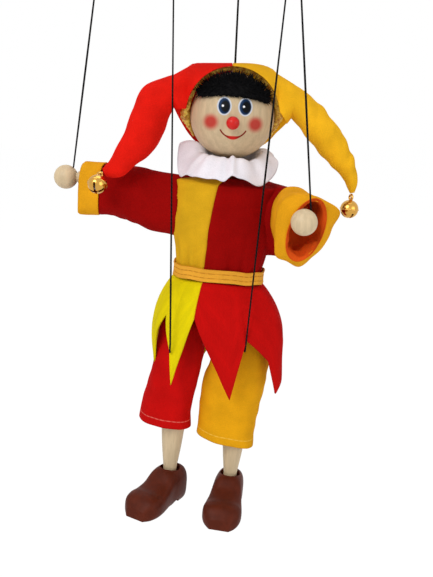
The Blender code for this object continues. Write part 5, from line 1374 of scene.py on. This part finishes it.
# Reach of the bend above and below the knee
KNEE_BEND = 0.010
SHIN_RADIUS = 0.0054
ANKLE_RADIUS = 0.0031
KNEE_SHOULDER = 0.0090
TONGUE_HALF_WIDTH = 0.0020
CHAMFER = 0.0003
SHIN_END = 0.0047
PEG_RADIUS = 0.0015
PEG_LENGTH = 0.0060


def build_trousers(name, leg, finish, slot):
    def point(u, v):
        full = ease(v / TROUSER_GATHER)
        fall = max(v - TROUSER_GATHER, 0.0) / (1 - TROUSER_GATHER)
        low, high = (blend(seat, hem, ease(fall / full_at)) for seat, hem, full_at
                     in zip(TROUSER_SEAT[name], TROUSER_HEM[name], TROUSER_FULL_AT[name]))
        left, right = blend(-TROUSER_WAIST, low, full), blend(TROUSER_WAIST, high, full)
        deep = blend(TROUSER_WAIST, TROUSER_HALF_DEPTH, full)
        c, s = rounded(2 * math.pi * u, blend(2.0, TROUSER_ROUNDNESS, full))
        z = blend(TROUSER_TOP, -TROUSER_LENGTH[name], v) - TROUSER_HEM_TILT[name] * c * fall
        base = Vector(((left + right) / 2 + c * (right - left) / 2, s * deep, z))
        seed = 3.0 if name == "left" else 8.0
        upright = Vector((base.x * 1.1 + base.z * 0.25, base.y, base.z * 0.22))
        fold = TROUSER_FOLD * ripple(upright, 0.0085, seed)
        fine = TROUSER_FINE_FOLD * ripple(Vector((base.x, base.y, base.z * 1.2 + base.x)), 0.0060, seed + 2)
        hem = TROUSER_HEM_ROLL * math.exp(-((1 - v) / 0.06) ** 2)
        out = Vector((c, s, 0))
        return base + out * (full * (fold + fine) - 0.0005 * full + hem)

    flat = (TROUSER_GIRTH, TROUSER_LENGTH[name] + TROUSER_TOP)
    made = cloth_piece(f"visual_trousers_{name}", point, 80, 110, True, finish, leg, flat)
    dress(made, slot, [f"trousers_{name}"])
    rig.sheet(made, flat, "gathered", [f"thigh_{name}"])
    knee = Vector((0, 0, -THIGH_LENGTH))
    reach = Vector((0, 0, KNEE_BEND))
    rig.blend(made, f"thigh_{name}", f"shin_{name}", leg @ (knee + reach), leg @ (knee - reach))


def build_shin(name, leg):
    """Tapered turned shin with a flat tongue at the knee and a peg at the ankle."""
    knee = -THIGH_LENGTH
    top = knee - KNEE_SHOULDER
    ankle = knee - SHIN_LENGTH
    end = ankle - SHIN_END
    taper = ((SHIN_RADIUS, top - 0.006), (SHIN_RADIUS, top - 0.012),
             (blend(SHIN_RADIUS, ANKLE_RADIUS, 0.45), ankle + 0.010), (ANKLE_RADIUS, ankle),
             (ANKLE_RADIUS * 0.95, end + 0.0015))
    profile = [(0, top), (SHIN_RADIUS - CHAMFER, top), (SHIN_RADIUS, top - CHAMFER)]
    profile += [tuple(smooth_line(taper, i / 30)) for i in range(31)]
    profile += [(ANKLE_RADIUS * 0.7, end), (PEG_RADIUS, end)]
    profile += [(PEG_RADIUS, end - PEG_LENGTH), (0, end - PEG_LENGTH)]
    made = turned(f"visual_shin_{name}", profile, PALE_WOOD, leg, 64)
    steps = 24
    angles = [math.pi * i / steps for i in range(steps + 1)]
    arch = [(SHIN_RADIUS * math.cos(a), knee + SHIN_RADIUS * math.sin(a)) for a in angles]
    arch += [(-SHIN_RADIUS, top), (SHIN_RADIUS, top)]
    tongue = slab("tongue", arch, TONGUE_HALF_WIDTH, PALE_WOOD, leg)
    bm = bmesh.new()
    bm.from_mesh(made.data)
    bm.from_mesh(tongue.data)
    bm.to_mesh(made.data)
    bm.free()
    drop(tongue)
    made.data.set_sharp_from_angle(angle=TURNED_SHARP)
    dress(made, "wood", [f"shin_{name}"], f"shin_{name}")


SHOE_LENGTH = 0.0340
SHOE_HEEL = 0.0088
SHOE_HALF_WIDTH = 0.0083
SHOE_HEIGHT = 0.0182
SHOE_ROUNDNESS = 3.0
SHOE_RECESS = 0.0050
SHOE_RECESS_GAP = 0.0014
PEG_HOLE_RADIUS = 0.0018
SOLE_TRIM = 0.0012
# Hollow in front of the heel: radius, and its middle's depth and height above the sole
ARCH_RADIUS = 0.0032
ARCH_MIDDLE = (-0.0012, 0.0004)
# Half width and height of the shoe as shares, from heel to toe
SHOE_SECTIONS = ((0.0, 0.46, 0.64), (0.08, 0.70, 0.95), (0.25, 0.80, 1.0), (0.42, 0.82, 0.96),
                 (0.55, 0.90, 0.74), (0.68, 1.0, 0.63), (0.80, 1.04, 0.61), (0.91, 0.92, 0.54),
                 (1.0, 0.56, 0.32))


def build_shoe(name, matrix):
    """Painted clog: high back, round toe, a heel step under it and a hollow for the shin's end."""
    sole = -SHOE_HEIGHT
    count, steps = 64, 72
    rings = []
    for i in range(steps + 1):
        share, wide, high = smooth_line(SHOE_SECTIONS, i / steps)
        y = SHOE_HEEL - SHOE_LENGTH * share
        ring = []
        for a in circle(count):
            c, s = rounded(a, SHOE_ROUNDNESS)
            ring.append(Vector((c * wide * SHOE_HALF_WIDTH, y, sole + high * SHOE_HEIGHT * (0.5 + 0.5 * s))))
        rings.append(ring)
    made = loft(f"visual_shoe_{name}", rings, BROWN_PAINT, matrix)
    far = SHOE_LENGTH
    low, high = sole - far, sole + SOLE_TRIM
    level = slab("level", ((-far, low), (far, low), (far, high), (-far, high)), far, BROWN_PAINT, matrix)
    across = matrix @ place((0, ARCH_MIDDLE[0], sole + ARCH_MIDDLE[1])) @ Matrix.Rotation(math.pi / 2, 4, "Y")
    arch = turned("arch", rod(ARCH_RADIUS, -far, far), BROWN_PAINT, across, 32)
    wide = ANKLE_RADIUS + SHOE_RECESS_GAP
    floor = -SHOE_RECESS
    profile = [(0, far), (wide + 0.0008, far), (wide + 0.0008, 0.0006), (wide, -0.0008)]
    profile += [(wide, floor + 0.002), (wide - 0.0012, floor), (PEG_HOLE_RADIUS, floor)]
    profile += [(PEG_HOLE_RADIUS, floor - PEG_LENGTH), (0, floor - PEG_LENGTH)]
    room = turned("recess", profile, BROWN_PAINT, matrix, 48)
    subtract(made, (level, arch, room), 42)
    drop(level, arch, room)
    dress(made, "brown_paint", [f"shoe_{name}"], f"shoe_{name}")


# Strings, from the knots on the control to the limbs
STRING_RADIUS = 0.00036
HEAD_STRING_RADIUS = 0.0004
KNOT_RADIUS = 0.0010
# Hand strings: hole in the control's bar, and the way from the hand's middle to its own hole
HAND_STRINGS = (("left", LEFT_ARM, (-0.0437, -0.0460), Vector((-0.60, 0, 0.80))),
                ("right", RIGHT_ARM, (0.0288, -0.0460), Vector((-0.10, 0.45, 0.87))))
HAND_HOLE_DEPTH = 0.0018
# Leg strings: hole in the control's bar, and in the leg's frame the distance across at the thigh and in front
# of it, and the height
LEG_STRINGS = (("left", LEFT_LEG, (-0.0225, -0.0200), -0.0022, -0.0036, -0.0220),
               ("right", RIGHT_LEG, (0.0225, -0.0200), 0.0, 0.0, -0.0185))
# Head string: heights in the main bar, height of the wire's eye over the head, and its way through the eye
HEAD_STRING_TOP = (-0.0030, -0.0052, -0.0083)
HEAD_EYE_RISE = 0.0017
HEAD_STRING_TIE = ((0.00135, 0.0024), (0.00135, 0.0008), (0.0009, 0.0004), (0, 0.0001), (-0.0016, 0.0001))
KNOT_RISE = 0.0026
BAR_TOP = -0.0083
BAR_UNDER = -0.0136
STRING_STEP = 0.0012
# Turn of the strands along the thread, in radians a metre
STRING_TWIST = 5200
# How far above the hip a leg string starts to follow its thigh
LEG_STRING_FREE = 0.0120


def walk(points, step):
    """Evenly spaced points along a route."""
    out = [points[0]]
    for a, b in zip(points, points[1:]):
        parts = max(1, round((b - a).length / step))
        out += [blend(a, b, i / parts) for i in range(1, parts + 1)]
    return out


def build_string(name, points, radius, limb, bend=None):
    """A twisted thread, knotted at its top. bend is where it starts and ends to turn with its limb."""
    line = walk(points, STRING_STEP)
    sides = 10
    knot_half = KNOT_RADIUS * 1.1
    rings, uvs = [], []
    run = 0.0
    side = Vector((1, 0, 0))
    for i, spot in enumerate(line):
        ahead = (line[min(i + 1, len(line) - 1)] - line[max(i - 1, 0)]).normalized()
        side = (side - ahead * side.dot(ahead)).normalized()
        other = ahead.cross(side)
        if i:
            run += (spot - line[i - 1]).length
        knot = max(0.0, 1 - abs(run - knot_half) / knot_half)
        thick = radius + (KNOT_RADIUS - radius) * math.sqrt(knot)
        if i in (0, len(line) - 1):
            thick *= 0.6
        ring = []
        for j, a in enumerate(circle(sides)):
            twist = 1 + 0.10 * math.cos(2 * a + run * STRING_TWIST)
            ring.append(spot + (side * math.cos(a) + other * math.sin(a)) * thick * twist)
            uvs.append((j / sides * 0.002, run))
        rings.append(ring)
    made = loft("visual_" + name, rings, THREAD, Matrix.Identity(4), uvs)
    dress(made, "black_thread", [name])
    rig.cord(made, line[0], run, 2 * radius, "object", "limp", "taut", line)
    start, end = bend or (points[2], points[-1])
    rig.blend(made, "torso", limb, start, end)


def bar_route(hole):
    return [CONTROL @ Vector((*hole, z)) for z in (BAR_TOP + KNOT_RISE, BAR_TOP + FIT, BAR_UNDER)]


def build_strings():
    for name, arm, hole, direction in HAND_STRINGS:
        centre = Vector((ARM_LENGTH, 0, 0))
        depths = (HAND_RADIUS + FIT, HAND_RADIUS - HAND_HOLE_DEPTH)
        ends = [arm @ (centre + direction.normalized() * depth) for depth in depths]
        build_string("string_hand_" + name, bar_route(hole) + ends, STRING_RADIUS, "arm_" + name)
    for name, leg, hole, thigh, front, low in LEG_STRINGS:
        way = [Vector((front, -0.0200, low + 0.0040)), Vector((front, -0.0180, low)),
               Vector((thigh, -0.0056, low)), Vector((thigh, -0.0038, low))]
        bend = (leg @ Vector((front, way[0].y, LEG_STRING_FREE)), leg @ way[0])
        route = bar_route(hole) + [leg @ p for p in way]
        build_string("string_leg_" + name, route, STRING_RADIUS, "thigh_" + name, bend)
    top = [CONTROL @ Vector((0, 0, z)) for z in HEAD_STRING_TOP]
    eye = HEAD_RADIUS + FIT + HEAD_EYE_RISE
    tied = [HEAD @ Vector((0, y, eye + above)) for y, above in HEAD_STRING_TIE]
    build_string("string_head", top + tied, HEAD_STRING_RADIUS, "neck_wire")


BAR_SOFT_EDGE = 0.0005


def dress_frame():
    """Finishes of the hard pieces that are shown as they were built."""
    finishes = {"control_main_bar": BAR_WOOD, "control_hand_bar": CROSS_WOOD, "control_leg_bar": CROSS_WOOD,
                "arm_left": ARM_WOOD, "arm_right": BAR_WOOD}
    wooden = ("torso_block", "thigh_left", "thigh_right", "control_hand_bar_pin", "control_leg_bar_pin")
    for name, node in frame["nodes"].items():
        finish = finishes.get(name)
        if finish is None:
            finish = PALE_WOOD if name in wooden else STEEL
        node.data.materials.clear()
        node.data.materials.append(finish)
    for name in ("control_main_bar", "control_hand_bar", "control_leg_bar"):
        edge = frame["nodes"][name].modifiers.new("soft_edges", "BEVEL")
        edge.width = BAR_SOFT_EDGE
        edge.segments = 2
        edge.limit_method = "ANGLE"


# Camera, light and floor
CAMERA_PLACE = (-0.0096, -0.3800, -0.0580)
CAMERA_PITCH = 13
CAMERA_LENS = 55.97
# Lamps: place, size and power
LAMPS = (("key", (-0.45, -0.65, 0.45), 0.55, 4.8),
         ("fill", (0.60, -0.55, 0.05), 0.60, 1.5),
         ("top", (0.05, 0.15, 0.70), 0.60, 1.7))
LAMP_AIM = Vector((0, 0, -0.14))
FLOOR_HALF_WIDTH = 3.0
FLOOR_HEIGHT = -0.300
FLOOR_WHITENESS = 0.90
FLOOR_GLOW = 1.06
SKY_STRENGTH = 0.42
SKY_COLOUR = (0.95, 0.97, 1.0, 1)


def area_lamp(name, where, size, power):
    lamp = bpy.data.lights.new(name, "AREA")
    lamp.shape = "DISK"
    lamp.size = size
    lamp.energy = power
    made = bpy.data.objects.new(name, lamp)
    bpy.context.scene.collection.objects.link(made)
    made.location = where
    made.rotation_euler = (LAMP_AIM - Vector(where)).to_track_quat("-Z", "Y").to_euler()
    return made


def whiten(n, output, lit, white, share):
    """Show a white of its own in place of a share of what is lit, to the camera, mirrors and glass alone."""
    rays = n.add("LightPath").outputs
    seen = n.math("MAXIMUM", rays["Is Camera Ray"], rays["Is Glossy Ray"])
    seen = n.math("MAXIMUM", seen, rays["Is Transmission Ray"])
    mix = n.add("MixShader", {0: n.math("MULTIPLY", seen, share), 1: lit, 2: white.outputs[0]})
    n.feed(n.tree.nodes[output], "Surface", mix.outputs[0])


def build_stage():
    scene = bpy.context.scene
    scene.view_settings.view_transform = "Standard"
    camera = bpy.data.cameras.new("camera")
    camera.lens = CAMERA_LENS
    camera.sensor_width = 36
    camera.clip_start = 0.01
    eye = bpy.data.objects.new("camera", camera)
    scene.collection.objects.link(eye)
    eye.location = CAMERA_PLACE
    eye.rotation_euler = (math.radians(90 - CAMERA_PITCH), 0, 0)
    scene.camera = eye

    lamps = [area_lamp(*lamp) for lamp in LAMPS]
    corners = [Vector((x, y, 0)) * FLOOR_HALF_WIDTH for x, y in ((-1, -1), (1, -1), (1, 1), (-1, 1))]
    n = new_finish("floor")
    tone = n.noise(n.coordinates("Object"), 3.0)
    n.principled(Base_Color=n.mix(tone, (0.90, 0.90, 0.90, 1), (0.93, 0.93, 0.93, 1)), Roughness=0.8)
    glow = n.add("Emission", {"Strength": FLOOR_GLOW})
    whiten(n, "Material Output", n.tree.nodes["Principled BSDF"].outputs[0], glow, FLOOR_WHITENESS)
    floor = add_object("floor", corners, [(0, 1, 2, 3)], n.owner, place((0, 0, FLOOR_HEIGHT)))
    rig.stage(floor, *lamps)

    scene.world = bpy.data.worlds.new("world")
    n = Nodes(scene.world)
    sky = n.tree.nodes["Background"]
    n.feed(sky, "Color", SKY_COLOUR)
    n.feed(sky, "Strength", SKY_STRENGTH)
    white = n.add("Background", {"Color": (1, 1, 1, 1)})
    whiten(n, "World Output", sky.outputs[0], white, 1.0)


def build_all():
    dress_frame()
    build_head()
    build_hat()
    build_trim()
    build_hair()
    for bell in BELLS:
        build_bell(*bell)
    build_jacket()
    build_belt()
    build_collar()
    build_skirt()
    for name, arm in (("left", LEFT_ARM), ("right", RIGHT_ARM)):
        build_sleeve(name, arm)
        build_hand(name, arm)
    build_cuff("left", LEFT_ARM)
    build_open_cuff("right", RIGHT_ARM)
    build_trousers("left", LEFT_LEG, RED_TROUSERS, "red_cloth")
    build_trousers("right", RIGHT_LEG, YELLOW_TROUSERS, "yellow_cloth")
    for name, leg, shoe in (("left", LEFT_LEG, LEFT_SHOE), ("right", RIGHT_LEG, RIGHT_SHOE)):
        build_shin(name, leg)
        build_shoe(name, shoe)
    build_strings()
    build_stage()


build_all()
with open("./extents.json", "w") as size_file:
    boxes = {"cad": CAD_BOX, "visual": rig.bounds()}
    json.dump({name: [list(corner) for corner in box] for name, box in boxes.items()}, size_file)
